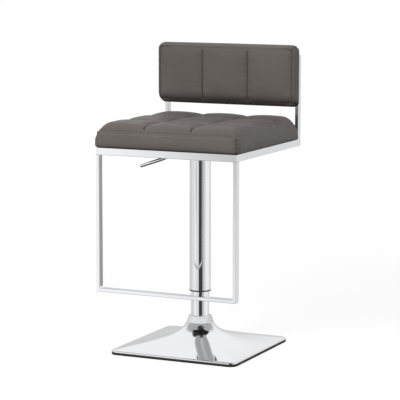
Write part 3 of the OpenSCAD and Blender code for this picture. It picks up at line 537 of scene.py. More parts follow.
def make_base_cover():
    """The pressed cover: nearly straight faces that turn up in a tight fillet at the neck."""
    low, high = box("base_cover")
    half, neck_z, seal_z = high.x, high.z, low.z
    flare_end = half - RIM_ROUND
    corner = BASE_CORNER_R - RIM_ROUND
    hole_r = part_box("lower_tube")[1][0] + NECK_GAP
    angles = outline_angles(OUTLINE_STEPS)
    cone = neck_z - RIM_H - NECK_FILLET
    fillet_share = NECK_FILLET_RUN / (flare_end - NECK_R)

    def skin(inset):
        levels = [level(angles, hole_r, 0, corner, neck_z - inset)]
        for i in range(FLARE_STEPS + 1):
            t = (i / FLARE_STEPS) ** FLARE_STEP_POWER
            fillet = NECK_FILLET * math.exp(-t / fillet_share)
            slope = math.atan((cone + fillet / fillet_share) / (flare_end - NECK_R))
            z = RIM_H + cone * (1 - t) + fillet
            size = mix(NECK_R, flare_end, t)
            levels.append(level(angles, size - inset * math.sin(slope), t, corner,
                                z - inset * math.cos(slope)))
        for i in range(1, RIM_STEPS + 1):
            a = math.pi / 2 * i / RIM_STEPS
            r = RIM_ROUND - inset
            levels.append(level(angles, flare_end + r * math.sin(a), 1,
                                corner + r * math.sin(a), RIM_H - RIM_ROUND + r * math.cos(a)))
        levels.append(level(angles, half - inset, 1, BASE_CORNER_R - inset, seal_z))
        return levels

    levels = skin(0) + skin(COVER_SHEET)[::-1]
    faces = skin_faces(len(levels), len(angles))
    piece = make_object("base_cover_shell", np.vstack(levels), faces, MATERIALS["chrome"],
                        SHARP_DEGREES)
    dress(piece, "base", "chrome", "base_cover")


def make_edge_seal():
    """The rubber edge that the base stands on, with a soft lip up over the cover's foot."""
    low, high = box("base_edge_seal")
    angles = outline_angles(OUTLINE_STEPS)
    top = high.z + SEAL_LIP_H
    profile = rounded_profile([
        (-SEAL_DEPTH, low.z, 0), (-SEAL_DEPTH, high.z, 0), (SEAL_CLEAR, high.z, 0),
        (SEAL_CLEAR, top, 0.2 * MM), (SEAL_LIP, top, 0.5 * MM), (SEAL_LIP, low.z, 1 * MM)])
    levels = [level(angles, high.x + p[0], 1, BASE_CORNER_R + p[0], p[1]) for p in profile]
    piece = make_object("edge_seal_lip", np.vstack(levels),
                        skin_faces(len(levels), len(angles)), MATERIALS["rubber"],
                        SHARP_DEGREES)
    dress(piece, "base", "rubber", "base_edge_seal")


def rounded_profile(corners, steps=6):
    """A closed profile of (r, z, round) corners, each turned into an arc of that radius."""
    points = []
    count = len(corners)
    for i, (x, z, r) in enumerate(corners):
        here = Vector((x, z))
        before = Vector(corners[i - 1][:2]) - here
        after = Vector(corners[(i + 1) % count][:2]) - here
        half_angle = before.angle(after) / 2
        if r == 0 or half_angle > math.radians(89):
            points.append(here)
            continue
        reach = r / math.tan(half_angle)
        start = here + before.normalized() * reach
        end = here + after.normalized() * reach
        middle = here + (before.normalized() + after.normalized()).normalized() * (
            r / math.sin(half_angle))
        from_middle, to_end = start - middle, end - middle
        turn = from_middle.angle_signed(to_end)
        for s in range(steps + 1):
            arm = Matrix.Rotation(-turn * s / steps, 2) @ from_middle
            points.append(middle + arm)
    return points


def lathe(name, corners, material):
    """A closed ring turned round the column's axis."""
    profile = rounded_profile(corners)
    angles = np.linspace(0, 2 * math.pi, ROUND_STEPS, endpoint=False)
    rings = [np.column_stack([p[0] * np.cos(angles), p[0] * np.sin(angles),
                              np.full(ROUND_STEPS, p[1])]) for p in profile]
    return make_object(name, np.vstack(rings), skin_faces(len(rings), ROUND_STEPS), material,
                       ROUND_SHARP_DEGREES)


def make_tube(name, packed, body, wall, edge):
    """A tube with softened rims, which stands for a packed one. Returns its foot and radius."""
    low, high = box(packed)
    tube = lathe(name, [
        (high.x, low.z, edge), (high.x - wall, low.z, edge), (high.x - wall, high.z, edge),
        (high.x, high.z, edge)], MATERIALS["chrome"])
    dress(tube, body, "chrome", packed)
    return low.z, high.x


def make_column():
    """Both tubes, the bush ring and the collar, with the small rounds of polished parts."""
    foot, tube_r = make_tube("cover_tube_shell", "cover_tube", "seat", COVER_TUBE_WALL,
                             COVER_TUBE_EDGE)
    low, high = box("cover_tube_ring")
    bore = box("lower_tube")[1].x + BUSH_GAP
    lip, inside = tube_r + BUSH_LIP, tube_r - COVER_TUBE_WALL - BUSH_PLAY
    lip_foot = low.z - BUSH_LIP_H
    ring = lathe("bush_ring_shell", [
        (lip, lip_foot, 0.8 * MM), (bore, lip_foot, 0.5 * MM), (bore, high.z, 0.3 * MM),
        (inside, high.z, 0.3 * MM), (inside, foot, 0), (lip, foot, 0.6 * MM)],
        MATERIALS["plastic"])
    dress(ring, "seat", "plastic", "cover_tube_ring")

    foot, tube_r = make_tube("lower_tube_shell", "lower_tube", "base", LOWER_TUBE_WALL,
                             LOWER_TUBE_EDGE)
    low, high = box("collar_ring")
    height = high.z - low.z
    bore = tube_r + COLLAR_GAP
    collar = lathe("collar_shell", [
        (bore, low.z, 0), (bore, high.z, 0.4 * MM),
        (high.x - COLLAR_TOP, high.z, 1.4 * MM),
        (high.x - COLLAR_DRAFT, low.z + 0.16 * height, 3 * MM),
        (high.x, low.z + 0.1 * height, 0.8 * MM), (high.x, low.z, 0.6 * MM)],
        SATIN_CHROME)
    dress(collar, "base", "chrome", "collar_ring")


# Cushions

def panel_lines(half, panels):
    """Grid lines across a cushion, close together beside each seam and even between."""
    width = 2 * half / panels
    near = list(SEAM_LINES)
    middle = width - 2 * near[-1]
    count = max(2, round(middle / CLOTH_STEP))
    steps = [0] + near + [near[-1] + middle * i / count for i in range(1, count)]
    steps += [width - n for n in reversed(near)]
    lines = [-half + p * width + s for p in range(panels) for s in steps] + [half]
    seams = [p * len(steps) for p in range(panels + 1)]
    return np.array(lines), seams


def pillow(x, half, panels):
    """Height of a sewn panel above its seams, from 0 at a seam to 1 in the middle."""
    t = (x / half + 1) / 2 * panels
    t = t - np.floor(np.minimum(t, panels - 0.5))
    return 1 - np.abs(2 * t - 1) ** PILLOW_POWER


def rise(d, run):
    """Rise of the crown at a distance in from the edge, from 0 to 1."""
    return 1 - (1 - np.clip(d / run, 0, 1)) ** RISE_POWER


def draw_in(x, y, a, b, r):
    """Plan points with the square corners drawn in to true arcs."""
    s = (np.abs(x) - a + r) / r
    t = (np.abs(y) - b + r) / r
    corner = (s > 0) & (t > 0)
    s2, t2 = np.clip(s, 0, 1), np.clip(t, 0, 1)
    new_x = np.where(corner, a - r + r * s2 * np.sqrt(1 - t2 ** 2 / 2), np.abs(x))
    new_y = np.where(corner, b - r + r * t2 * np.sqrt(1 - s2 ** 2 / 2), np.abs(y))
    return np.sign(x) * new_x, np.sign(y) * new_y


class Pad:
    """A boxed, sewn cushion as a grid: its top, its boxing and the wrap under its edge.

    It is made standing on z = 0 with its sewn face up, swelled there, and placed afterwards.
    """

    def __init__(self, half, corner, boxing, crown, tuft, panels, edge_run, bulge, pocket,
                 widest, low_share):
        self.half, self.boxing, self.corner = half, boxing, corner
        self.xs, self.x_seams = panel_lines(half[0], panels[0])
        self.ys, self.y_seams = panel_lines(half[1], panels[1])
        n, m = len(self.xs), len(self.ys)
        grid_x, grid_y = np.meshgrid(self.xs, self.ys)
        px, py = draw_in(grid_x, grid_y, half[0], half[1], corner)
        lift = rise(half[0] - np.abs(px), edge_run) * rise(half[1] - np.abs(py), edge_run)
        puff = pillow(grid_x, half[0], panels[0]) * pillow(grid_y, half[1], panels[1])
        top = np.column_stack([px.ravel(), py.ravel(),
                               (boxing + lift * (crown + tuft * puff)).ravel()])
        self.rim = rim_cells(n, m)
        rim_x, rim_y = np.array([(self.xs[i], self.ys[j]) for i, j in self.rim]).T
        self.drops = self.boxing_rows()
        loops = []
        for z in self.drops:
            t = z / boxing
            if t > widest:
                out = bulge * (1 - ((t - widest) / (1 - widest)) ** 2)
            else:
                out = bulge * (1 - (1 - low_share) * ((widest - t) / widest) ** 2)
            out -= EDGE_ROLL * (1 - math.sqrt(1 - max(0, 1 - z / EDGE_ROLL) ** 2))
            k = np.array([half[0] + out, half[1] + out]) / np.array(half)
            lx, ly = draw_in(rim_x * k[0], rim_y * k[1], half[0] + out, half[1] + out,
                             corner + out)
            loops.append(np.column_stack([lx, ly, np.full(len(lx), z)]))
        for z in (0, pocket):
            inner = (half[0] - WRAP_MARGIN, half[1] - WRAP_MARGIN)
            lx, ly = draw_in(rim_x * inner[0] / half[0], rim_y * inner[1] / half[1], inner[0],
                             inner[1], corner - WRAP_MARGIN)
            loops.append(np.column_stack([lx, ly, np.full(len(lx), z)]))
        ceiling = self.ceiling_points(loops[-1], pocket)
        self.points = np.vstack([top] + loops + [ceiling])
        self.n, self.m, self.count, self.side = n, m, len(self.rim), n * m
        self.faces = self.make_faces(len(loops))

    def ceiling_points(self, edge, z):
        """The pocket's ceiling inside its edge, on the same grid as the top."""
        low, high = edge.min(axis=0), edge.max(axis=0)
        inner_x = self.xs[1:-1] / self.half[0] * (high[0] - low[0]) / 2
        inner_y = self.ys[1:-1] / self.half[1] * (high[1] - low[1]) / 2
        grid_x, grid_y = np.meshgrid(inner_x, inner_y)
        return np.column_stack([grid_x.ravel(), grid_y.ravel(), np.full(grid_x.size, z)])

    def boxing_rows(self):
        """Heights of the rows down the boxing, close together at the seam and the rolled edge."""
        fine = [self.boxing - f for f in SEAM_LINES]
        low = [EDGE_ROLL * share for share in (1, 0.5, 0.2, 0)]
        middle = fine[-1] - low[0]
        count = max(2, round(middle / CLOTH_STEP))
        return fine + [fine[-1] - middle * i / count for i in range(1, count)] + low

    def make_faces(self, loops):
        n, m, count, side = self.n, self.m, self.count, self.side
        first = self.loop_path(0)
        rows = [first] + [[side + r * count + k for k in range(count)] for r in range(loops)]
        number = {cell: rows[-1][k] for k, cell in enumerate(self.rim)}
        start = rows[-1][-1] + 1
        for j in range(1, m - 1):
            for i in range(1, n - 1):
                number[i, j] = start + (j - 1) * (n - 2) + i - 1
        ceiling = [(number[i, j], number[i, j + 1], number[i + 1, j + 1], number[i + 1, j])
                   for j in range(m - 1) for i in range(n - 1)]
        return sheet_faces(n, m) + strip_faces(rows) + ceiling

    def sewn_corners(self):
        """The corners of the grid where the boxing's strips are joined."""
        return [(0, 0), (self.n - 1, 0), (self.n - 1, self.m - 1), (0, self.m - 1)]

    def held(self, fade):
        """How firmly each point is held by the seams and the board, from 0 to 1."""
        hold = np.zeros(len(self.points))
        hold[self.side + (len(self.drops) - 1) * self.count:] = 1
        hold[self.loop_path(0)] = 1
        inner = np.minimum(self.half[0] - np.abs(self.xs)[None, :],
                           self.half[1] - np.abs(self.ys)[:, None])
        firm = np.clip((inner - fade) / fade, 0, 1)
        top = hold[:self.side].reshape(self.m, self.n)
        for i in self.x_seams[1:-1]:
            top[:, i] = np.maximum(top[:, i], firm[:, i])
        for j in self.y_seams[1:-1]:
            top[j] = np.maximum(top[j], firm[j])
        return hold

    def seam_paths(self, margin, fades, side_fades):
        """Point numbers along each sewn seam of the face, short of the boxing by the margin.

        Each comes with its fades: the seams that run to the rear, then those that run across.
        """
        paths = []
        rows = [j for j, y in enumerate(self.ys) if self.half[1] - abs(y) > margin]
        columns = [i for i, x in enumerate(self.xs) if self.half[0] - abs(x) > margin]
        for i in self.x_seams[1:-1]:
            paths.append(([j * self.n + i for j in rows], fades))
        for j in self.y_seams[1:-1]:
            paths.append(([j * self.n + i for i in columns], side_fades))
        return paths

    def loop_path(self, row):
        """Point numbers once round the pad: the boxing seam at row 0, below it above 0."""
        if row > 0:
            start = self.side + (row - 1) * self.count
            return list(range(start, start + self.count))
        return [j * self.n + i for i, j in rim_cells(self.n, self.m, -row)]

    def corner_path(self, cell):
        """Point numbers down the boxing below a corner of the grid."""
        k = self.rim.index(cell)
        return [self.side + row * self.count + k for row in range(len(self.drops))]


def swell(piece, held, pressure, cap):
    """Blows the cover up like stuffing would, with its seams held, then fixes the result."""
    group = piece.vertex_groups.new(name="held")
    for i, share in enumerate(held):
        if share > 0:
            group.add([i], float(share), "REPLACE")
    start = positions(piece.data)
    cloth = piece.modifiers.new("stuffing", "CLOTH")
    for key, value in CLOTH.items():
        setattr(cloth.settings, key, value)
    cloth.settings.vertex_group_mass = "held"
    cloth.settings.uniform_pressure_force = pressure
    cloth.settings.effector_weights.gravity = 0
    cloth.point_cache.frame_start, cloth.point_cache.frame_end = 1, CLOTH_FRAMES
    scene = bpy.context.scene
    for step in range(1, CLOTH_FRAMES + 1):
        scene.frame_set(step)
    shaped = piece.evaluated_get(bpy.context.evaluated_depsgraph_get())
    moved = positions(shaped.data) - start
    piece.modifiers.remove(cloth)
    piece.vertex_groups.remove(group)
    scene.frame_set(1)
    length = np.maximum(np.linalg.norm(moved, axis=1, keepdims=True), 1e-9)
    moved *= cap * (1 - np.exp(-length / cap)) / length
    set_positions(piece.data, start + moved)


class Seam:
    """A sewn line on a cover: how near each of the cover's points is, and its strength there.

    With fades, it comes in slowly over those lengths at its first and last end. Shares weaken
    it point by point.
    """

    def __init__(self, points, path, fades=None, shares=None):
        spine = points[path]
        self.near = np.full(len(points), 1.0)
        self.which = np.zeros(len(points), int)
        low, high = spine.min(axis=0) - SEAM_REACH, spine.max(axis=0) + SEAM_REACH
        close = np.flatnonzero(((points > low) & (points < high)).all(axis=1))
        for chunk in np.array_split(close, 24):
            gaps = ((points[chunk][:, None, :] - spine[None, :, :]) ** 2).sum(axis=2)
            self.which[chunk] = gaps.argmin(axis=1)
            self.near[chunk] = np.sqrt(gaps.min(axis=1))
        legs = np.linalg.norm(np.diff(spine, axis=0), axis=1)
        self.run = np.concatenate([[0], np.cumsum(legs)])
        strength = np.ones(len(path)) if shares is None else np.asarray(shares, float)
        if fades:
            ends = np.clip(np.minimum(self.run / fades[0],
                                      (self.run[-1] - self.run) / fades[1]), 0, 1)
            strength = strength * ends * ends * (3 - 2 * ends)
        self.strength = strength[self.which]

    def profile(self, width):
        return self.strength * np.exp(-(self.near / width) ** 2)

    def press(self, points, normals, depth, width):
        """Moves the cover in along its normals beside the line, most at the line itself."""
        return points - normals * (depth * self.profile(width))[:, None]

    def pucker(self, points, normals, folds, seed):
        """Gathers the cover into small uneven folds that run away from the line."""
        height, pitch, reach = folds
        rng = np.random.default_rng(seed)
        wave = np.zeros(len(self.run))
        for _ in range(5):
            turn = 2 * math.pi * self.run / (pitch * rng.uniform(0.7, 1.6))
            start = rng.uniform(0, 6.28)
            wave += rng.uniform(0.3, 1) * np.sin(turn + start)
        away = self.near / reach
        fold = height * wave[self.which] / 2 * self.strength * away * np.exp(1 - away ** 1.5)
        return points + normals * fold[:, None]


def subdivide(piece):
    """One smoothing subdivision, applied. The old points keep their numbers."""
    modifier = piece.modifiers.new("smooth", "SUBSURF")
    modifier.levels = modifier.render_levels = 1
    modifier.boundary_smooth = "PRESERVE_CORNERS"
    shaped = piece.evaluated_get(bpy.context.evaluated_depsgraph_get())
    mesh = bpy.data.meshes.new_from_object(shaped)
    piece.modifiers.remove(modifier)
    old, piece.data = piece.data, mesh
    bpy.data.meshes.remove(old)


def stitch_run(path, ups, thread_r, lift):
    """Stitches along a path, each a short bent bead of thread that dips at its two ends."""
    legs = np.linalg.norm(np.diff(path, axis=0), axis=1)
    run = np.concatenate([[0], np.cumsum(legs)])
    points, faces = [], []
    sides, rings = 6, 5

    def along_run(at, values):
        return np.array([np.interp(at, run, values[:, a]) for a in range(3)])

    for start in np.arange(STITCH_PITCH / 2, run[-1] - STITCH_LENGTH, STITCH_PITCH):
        first = len(points)
        for ring in range(rings):
            share = ring / (rings - 1)
            at = start + STITCH_LENGTH * share
            here, up = along_run(at, path), along_run(at, ups)
            along = along_run(at + STITCH_PITCH / 10, path) - here
            along /= max(np.linalg.norm(along), 1e-9)
            up = up - along * np.dot(up, along)
            up /= max(np.linalg.norm(up), 1e-9)
            across = np.cross(along, up)
            arch = 1 - (2 * share - 1) ** 2
            radius = thread_r * mix(STITCH_TIP, 1, arch)
            centre = here + up * (lift * (2 * arch - 1))
            for k in range(sides):
                a = 2 * math.pi * k / sides
                points.append(centre + radius * (math.cos(a) * across + math.sin(a) * up))
        for ring in range(rings - 1):
            for k in range(sides):
                a = first + ring * sides + k
                b = first + ring * sides + (k + 1) % sides
                faces.append((a, b, b + sides, a + sides))
        faces.append(tuple(first + k for k in reversed(range(sides))))
        faces.append(tuple(first + (rings - 1) * sides + k for k in range(sides)))
    return points, faces


def join_runs(name, runs):
    points, faces = [], []
    for run_points, run_faces in runs:
        offset = len(points)
        points += run_points
        faces += [tuple(offset + k for k in face) for face in run_faces]
    return make_object(name, points, faces, THREAD)


def stretches(loop, keep):
    """The unbroken stretches of a closed loop of point numbers where keep holds."""
    start = int(np.argmin(keep))
    loop, keep = np.roll(loop, -start), np.roll(keep, -start)
    cuts = np.flatnonzero(np.diff(keep.astype(int))) + 1
    parts = zip(np.split(loop, cuts), np.split(keep, cuts))
    return [part for part, kept in parts if kept[0] and len(part) > 2]


def sew(pad, piece, name, sewing, rim_shares, shade):
    """Presses the seams into a swelled pad and returns its stitches.

    The boxing's seams are full strength only where rim_shares says so, and stitched there.
    Shade says how dark a painted shade each point gets beyond the painted shade of its grooves.
    """
    subdivide(piece)
    mesh = piece.data
    points = positions(mesh)
    normals = vertex_normals(mesh)
    paths = pad.seam_paths(sewing["margin"], sewing["fades"], sewing["side_fades"])
    corner_paths = [pad.corner_path(cell) for cell in pad.sewn_corners()]
    loops = [pad.loop_path(row) for row in (-2, 0, 2)]
    seams = [Seam(points, path, fades) for path, fades in paths]
    corners = [Seam(points, path) for path in corner_paths]
    above, rim, below = [Seam(points, loop, None, rim_shares(points[loop])) for loop in loops]
    foot = Seam(points, pad.loop_path(len(pad.drops) - 1))
    for number, seam in enumerate(seams):
        points = seam.pucker(points, normals, SEAM_FOLDS, number)
    points = rim.pucker(points, normals, RIM_FOLDS, RIM_SEED)
    for number, seam in enumerate(corners):
        points = seam.pucker(points, normals, CORNER_FOLDS, CORNER_SEED + number)
    for seam in seams:
        points = seam.press(points, normals, sewing["crease"], CREASE_WIDTH)
        points = seam.press(points, normals, sewing["valley"], VALLEY_WIDTH)
    for seam in corners:
        points = seam.press(points, normals, *CORNER_CREASE_AND_WIDTH)
    points = above.press(points, normals, sewing["over"], sewing["over_run"])
    points = rim.press(points, normals, *BEAD_AND_WIDTH)
    points = below.press(points, normals, sewing["under"], UNDER_WIDTH)
    # Painted shade, carried to the material as a point attribute: in the seams' creases, at the
    # corners, just over and under the bead, along the foot as a contact shadow, and where shade says
    groove = shade(points)
    for seam, dark, width in (
            [(seam, SEAM_DARK, sewing["dark"]) for seam in seams]
            + [(seam, *CORNER_DARK_AND_WIDTH) for seam in corners]
            + [(above, sewing["over_dark"], OVER_DARK_WIDTH),
               (below, sewing["under_dark"], UNDER_DARK_WIDTH),
               (foot, sewing["foot_dark"], FOOT_DARK_WIDTH)]):
        groove = np.maximum(groove, dark * seam.profile(width))
    mesh.attributes.new("groove", "FLOAT", "POINT").data.foreach_set("value", groove)
    set_positions(mesh, points)
    normals = vertex_normals(mesh)
    loop = np.array(pad.loop_path(1))
    runs = [stitch_run(points[part], normals[part], *RIM_STITCH)
            for part in stretches(loop, rim_shares(points[loop]) > 0.5)]
    for path in [path for path, fades in paths] + corner_paths:
        runs.append(stitch_run(points[path], normals[path], *SEAM_STITCH))
    return join_runs(name, runs)


def place(piece, at, turn=0):
    """Turns a piece's points about X and moves them, so that its object stays at the origin."""
    piece.data.transform(Matrix.Translation(at) @ Matrix.Rotation(turn, 4, "X"))
    piece.data.update()


def fill_rear_foot(pad):
    """Lets the boxing's rear foot reach the rear beam, so that no light shows between them."""
    skirt = pad.points[pad.side:pad.side + len(pad.drops) * pad.count]
    y, z = skirt[:, 1], skirt[:, 2]
    share = 1 - z / (SEAT_WIDEST * SEAT_BOXING)
    reach = pad.half[1] + mix(SEAT_BULGE, SEAT_REAR_REACH, share)
    rear = np.clip(1 + (y - pad.half[1]) / SEAT_REAR_RUN, 0, 1) ** 2
    skirt[:, 1] = np.where(share > 0, mix(y, reach, rear), y)


def make_seat_cushion():
    low, high = box("seat_cushion")
    half = ((high.x - low.x) / 2 - SEAT_BULGE, (high.y - low.y) / 2 - SEAT_BULGE)
    pad = Pad(half, SEAT_CORNER_R, SEAT_BOXING, SEAT_CROWN, SEAT_TUFT,
              (SEAT_PANELS, SEAT_PANELS), SEAT_EDGE_RUN, SEAT_BULGE, SEAT_POCKET_DEPTH,
              SEAT_WIDEST, SEAT_LOW_SHARE)
    fill_rear_foot(pad)
    piece = make_object("seat_cushion_cover", pad.points, pad.faces, MATERIALS["leatherette"])
    swell(piece, pad.held(SEAT_HOLD_FADE), SEAT_PRESSURE, SEAT_SWELL)

    def rim_shares(at):
        return np.interp(at[:, 1] + half[1], SEAT_RIM_FADE, (1, SEAT_RIM_LEAST))

    stitches = sew(pad, piece, "seat_stitches", SEAT_SEWING, rim_shares,
                   lambda at: np.zeros(len(at)))
    middle = (low + high) / 2
    for made in (piece, stitches):
        place(made, (middle.x, middle.y, low.z))
    dress(piece, "seat", "leatherette", "seat_cushion")
    dress(stitches, "seat", "leatherette")


def make_back_cushion():
    low, high = box("back_cushion")
    half = ((high.x - low.x) / 2 - BACK_BULGE, (high.z - low.z) / 2 - BACK_BULGE)
    pad = Pad(half, BACK_CORNER_R, BACK_BOXING, BACK_CROWN, BACK_TUFT, (BACK_CHANNELS, 1),
              BACK_EDGE_RUN, BACK_BULGE, BACK_POCKET_DEPTH, BACK_WIDEST, BACK_LOW_SHARE)

    def tuck(at):
        return np.clip(1 - (half[1] + at[:, 1]) / BACK_TUCK_RUN, 0, 1) ** 2

    def rim_shares(at):
        return np.interp(half[0] - np.abs(at[:, 0]), BACK_RIM_FADE, (1, BACK_RIM_LEAST))

    pad.points[:, 2] -= BACK_TUCK * tuck(pad.points) * np.clip(pad.points[:, 2] / BACK_BOXING,
                                                               0, 1)
    piece = make_object("back_cushion_cover", pad.points, pad.faces, MATERIALS["leatherette"])
    swell(piece, pad.held(BACK_HOLD_FADE), BACK_PRESSURE, BACK_SWELL)
    # The tucked lower edge gets a painted shade, darkest at the bottom
    stitches = sew(pad, piece, "back_stitches", BACK_SEWING, rim_shares,
                   lambda at: BACK_TUCK_DARK * tuck(at))
    middle = (low + high) / 2
    for made in (piece, stitches):
        place(made, (middle.x, high.y, middle.z), math.pi / 2)
    dress(piece, "seat", "leatherette", "back_cushion")
    dress(stitches, "seat", "leatherette")


def make_back_panel():
    """The covered panel that closes the back rest: thin, with a soft crown and a rolled edge."""
    low, high = box("back_panel")
    half = ((high.x - low.x) / 2, (high.z - low.z) / 2)
    thick = high.y - low.y
    n, m = (steps + 1 for steps in PANEL_GRID)
    us, vs = np.linspace(-1, 1, n), np.linspace(-1, 1, m)
    cells = rim_cells(n, m)
    rim_u, rim_v = np.array([(us[i], vs[j]) for i, j in cells]).T
    inner = (half[0] - 2 * PANEL_ROLL, half[1] - 2 * PANEL_ROLL)

    def loop(turn):
        out = 2 * PANEL_ROLL * math.cos(turn)
        size = (inner[0] + out, inner[1] + out)
        x, y = draw_in(rim_u * size[0], rim_v * size[1], *size, PANEL_CORNER_R)
        z = thick / 2 + (thick - PANEL_TOP) / 2 * math.sin(turn)
        return np.column_stack([x, y, np.full(len(x), z)])

    def sheet(z, crown):
        grid_u, grid_v = np.meshgrid(us, vs)
        x, y = draw_in(grid_u * inner[0], grid_v * inner[1], *inner, PANEL_CORNER_R)
        lift = (1 - grid_u ** PANEL_CROWN_POWERS[0]) * (1 - grid_v ** PANEL_CROWN_POWERS[1])
        return np.column_stack([x.ravel(), y.ravel(), (z + crown * lift).ravel()])

    top, base = sheet(thick - PANEL_TOP, PANEL_CROWN), sheet(0, 0)
    turns = np.linspace(math.pi / 2, -math.pi / 2, PANEL_EDGE_STEPS + 1)
    loops = [loop(turn) for turn in turns]
    first = [j * n + i for i, j in cells]
    count, start = len(cells), len(top) + len(loops) * len(cells)
    rings = [first] + [[len(top) + r * count + k for k in range(count)]
                       for r in range(len(loops))] + [[start + k for k in first]]
    faces = sheet_faces(n, m) + strip_faces(rings)
    faces += [tuple(start + k for k in reversed(face)) for face in sheet_faces(n, m)]
    piece = make_object("back_panel_cover", np.vstack([top] + loops + [base]), faces,
                        MATERIALS["leatherette"])
    middle = (low + high) / 2
    place(piece, (middle.x, low.y, middle.z), -math.pi / 2)
    dress(piece, "seat", "leatherette", "back_panel")


# Studio

def make_camera():
    azimuth, elevation = math.radians(CAMERA_AZIMUTH), math.radians(CAMERA_ELEVATION)
    back = Vector((math.sin(azimuth) * math.cos(elevation),
                   -math.cos(azimuth) * math.cos(elevation), math.sin(elevation)))
    right = Vector((math.cos(azimuth), math.sin(azimuth), 0))
    camera = add_object("camera", bpy.data.cameras.new("camera"))
    target = right * TARGET_SIDE + Vector((0, 0, TARGET_HEIGHT))
    camera.location = target + back * CAMERA_DISTANCE
    up = back.cross(right)
    turned = Matrix((right, up, back)).transposed()
    roll = Matrix.Rotation(math.radians(CAMERA_ROLL), 3, "Z")
    camera.rotation_euler = (turned @ roll).to_euler()
    camera.data.lens = camera.data.sensor_width * FOCAL_PX / FRAME_PX
    camera.data.clip_end = 50
    bpy.context.scene.camera = camera


def area_light(name, at, aim, size, watts):
    light = bpy.data.lights.new(name, "AREA")
    light.shape = "SQUARE"
    light.size = size
    light.energy = watts
    lamp = add_object(name, light)
    lamp.location = at
    lamp.rotation_euler = (Vector(aim) - Vector(at)).to_track_quat("-Z", "Y").to_euler()
    lamp.visible_glossy = False


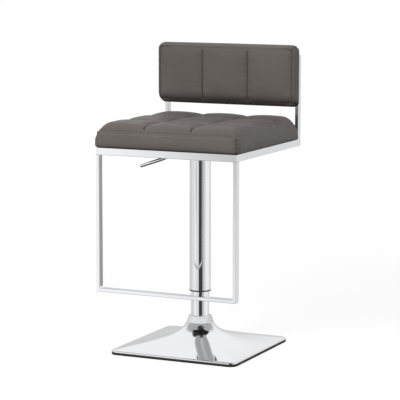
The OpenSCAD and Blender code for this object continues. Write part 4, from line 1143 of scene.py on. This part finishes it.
def make_world():
    """A white studio: even fill light, and for glossy rays a tent with one dark gap."""
    world = bpy.data.worlds.new("studio")
    bpy.context.scene.world = world
    world.use_nodes = True
    tree = world.node_tree
    tree.nodes.clear()
    output = tree.nodes.new("ShaderNodeOutputWorld")
    rays = tree.nodes.new("ShaderNodeLightPath")
    coords = tree.nodes.new("ShaderNodeTexCoord")
    split = tree.nodes.new("ShaderNodeSeparateXYZ")
    tree.links.new(coords.outputs["Generated"], split.inputs["Vector"])

    def maths(operation, *values):
        made = node(tree, "ShaderNodeMath", operation=operation)
        for socket, value in zip(made.inputs, values):
            feed(tree, socket, value)
        return made.outputs[0]

    def mixed(factor, a, b):
        made = node(tree, "ShaderNodeMix", data_type="FLOAT")
        for title, value in (("Factor", factor), ("A", a), ("B", b)):
            feed(tree, made.inputs[title], value)
        return made.outputs["Result"]

    def smooth(*values):
        return smooth_step(tree, *values)

    # Turn about the vertical from the camera's heading, and height above the horizon, in degrees
    heading = maths("MULTIPLY", maths("ARCTAN2", split.outputs["X"],
                                      maths("MULTIPLY", split.outputs["Y"], -1)), 180 / math.pi)
    heading = maths("SUBTRACT", heading, CAMERA_AZIMUTH)
    turn = maths("FRACT", maths("DIVIDE", maths("ADD", heading, 540), 360))
    heading = maths("SUBTRACT", maths("MULTIPLY", turn, 360), 180)
    height = maths("MULTIPLY", maths("ARCSINE", split.outputs["Z"]), 180 / math.pi)
    panels = tree.nodes.new("ShaderNodeValToRGB")
    stops = panels.color_ramp.elements
    while len(stops) < len(TENT_PANELS):
        stops.new(0.5)
    for stop, (at, shade) in zip(stops, TENT_PANELS):
        stop.position = (at + 180) / 360
    for stop, (at, shade) in zip(stops, TENT_PANELS):
        stop.color = (shade, shade, shade, 1)
    tree.links.new(turn, panels.inputs["Fac"])
    behind = smooth(maths("ABSOLUTE", heading), *BEHIND_FROM, 0, 1)
    ceiling = mixed(behind, smooth(height, *FRONT_CEILING_FROM, 0, 1),
                    smooth(height, *BACK_CEILING_FROM, 0, 1))
    overhead = maths("MAXIMUM", behind, smooth(height, *OVERHEAD_FROM, 0, 1))
    ceiling_shade = mixed(overhead, FRONT_CEILING_SHADE, BACK_CEILING_SHADE)
    tent = mixed(ceiling, panels.outputs["Color"], ceiling_shade)
    in_gap = smooth(maths("ABSOLUTE", maths("SUBTRACT", heading, GAP_HEADING)),
                    GAP_HALF_WIDTH - GAP_SOFTNESS, GAP_HALF_WIDTH + GAP_SOFTNESS, 1, 0)
    in_gap = maths("MULTIPLY", in_gap, smooth(height, *GAP_ENDS, 1, 0))
    gap = smooth(height, *GAP_FADES, GAP_SHADE, GAP_HIGH_SHADE)
    tent = maths("MULTIPLY", tent, mixed(in_gap, 1, gap))
    for at, up, half_width, half_height, shade, softness in FLAGS:
        across = maths("DIVIDE", maths("SUBTRACT", heading, at), half_width)
        upward = maths("DIVIDE", maths("SUBTRACT", height, up), half_height)
        off_flag = maths("SQRT", maths("ADD", maths("MULTIPLY", across, across),
                                       maths("MULTIPLY", upward, upward)))
        tent = maths("MULTIPLY", tent, smooth(off_flag, 1 - softness, 1, shade, 1))
    tent = maths("MULTIPLY", tent, smooth(height, *BELOW_FROM, BELOW_SHADE, 1))
    strength = mixed(rays.outputs["Is Glossy Ray"], FILL_LEVEL, tent)
    strength = mixed(rays.outputs["Is Camera Ray"], strength, 1)
    strength = mixed(rays.outputs["Is Transmission Ray"], strength, 1)
    back = node(tree, "ShaderNodeBackground", color=(1, 1, 1, 1))
    tree.links.new(strength, back.inputs["Strength"])
    tree.links.new(back.outputs["Background"], output.inputs["Surface"])


def make_floor():
    """A white floor that keeps the stool's soft shadow, white out to the horizon."""
    bpy.ops.mesh.primitive_plane_add(size=FLOOR_SIZE)
    floor = bpy.context.object
    floor.name = "studio_floor"
    material, tree, shader = new_material(
        "white_floor", base_color=(FLOOR_TONE, FLOOR_TONE, FLOOR_TONE, 1), roughness=0.9,
        emission_color=(1, 1, 1, 1))
    shader.inputs["Specular IOR Level"].default_value = 0
    away = node(tree, "ShaderNodeVectorMath", operation="LENGTH")
    tree.links.new(object_coords(tree), away.inputs[0])
    glow = smooth_step(tree, away.outputs["Value"], *FLOOR_GLOW_REACH, *FLOOR_GLOW)
    rays = tree.nodes.new("ShaderNodeLightPath")
    seen = node(tree, "ShaderNodeMath", operation="MULTIPLY")
    tree.links.new(rays.outputs["Is Camera Ray"], seen.inputs[0])
    tree.links.new(glow, seen.inputs[1])
    tree.links.new(seen.outputs[0], shader.inputs["Emission Strength"])
    floor.data.materials.append(material)
    floor.visible_glossy = False


dress_packed_nodes()
make_base_cover()
make_edge_seal()
make_column()
make_seat_cushion()
make_back_cushion()
make_back_panel()
make_camera()
make_world()
make_floor()
for lamp in LAMPS:
    area_light(*lamp)
bpy.context.scene.view_settings.view_transform = "Standard"
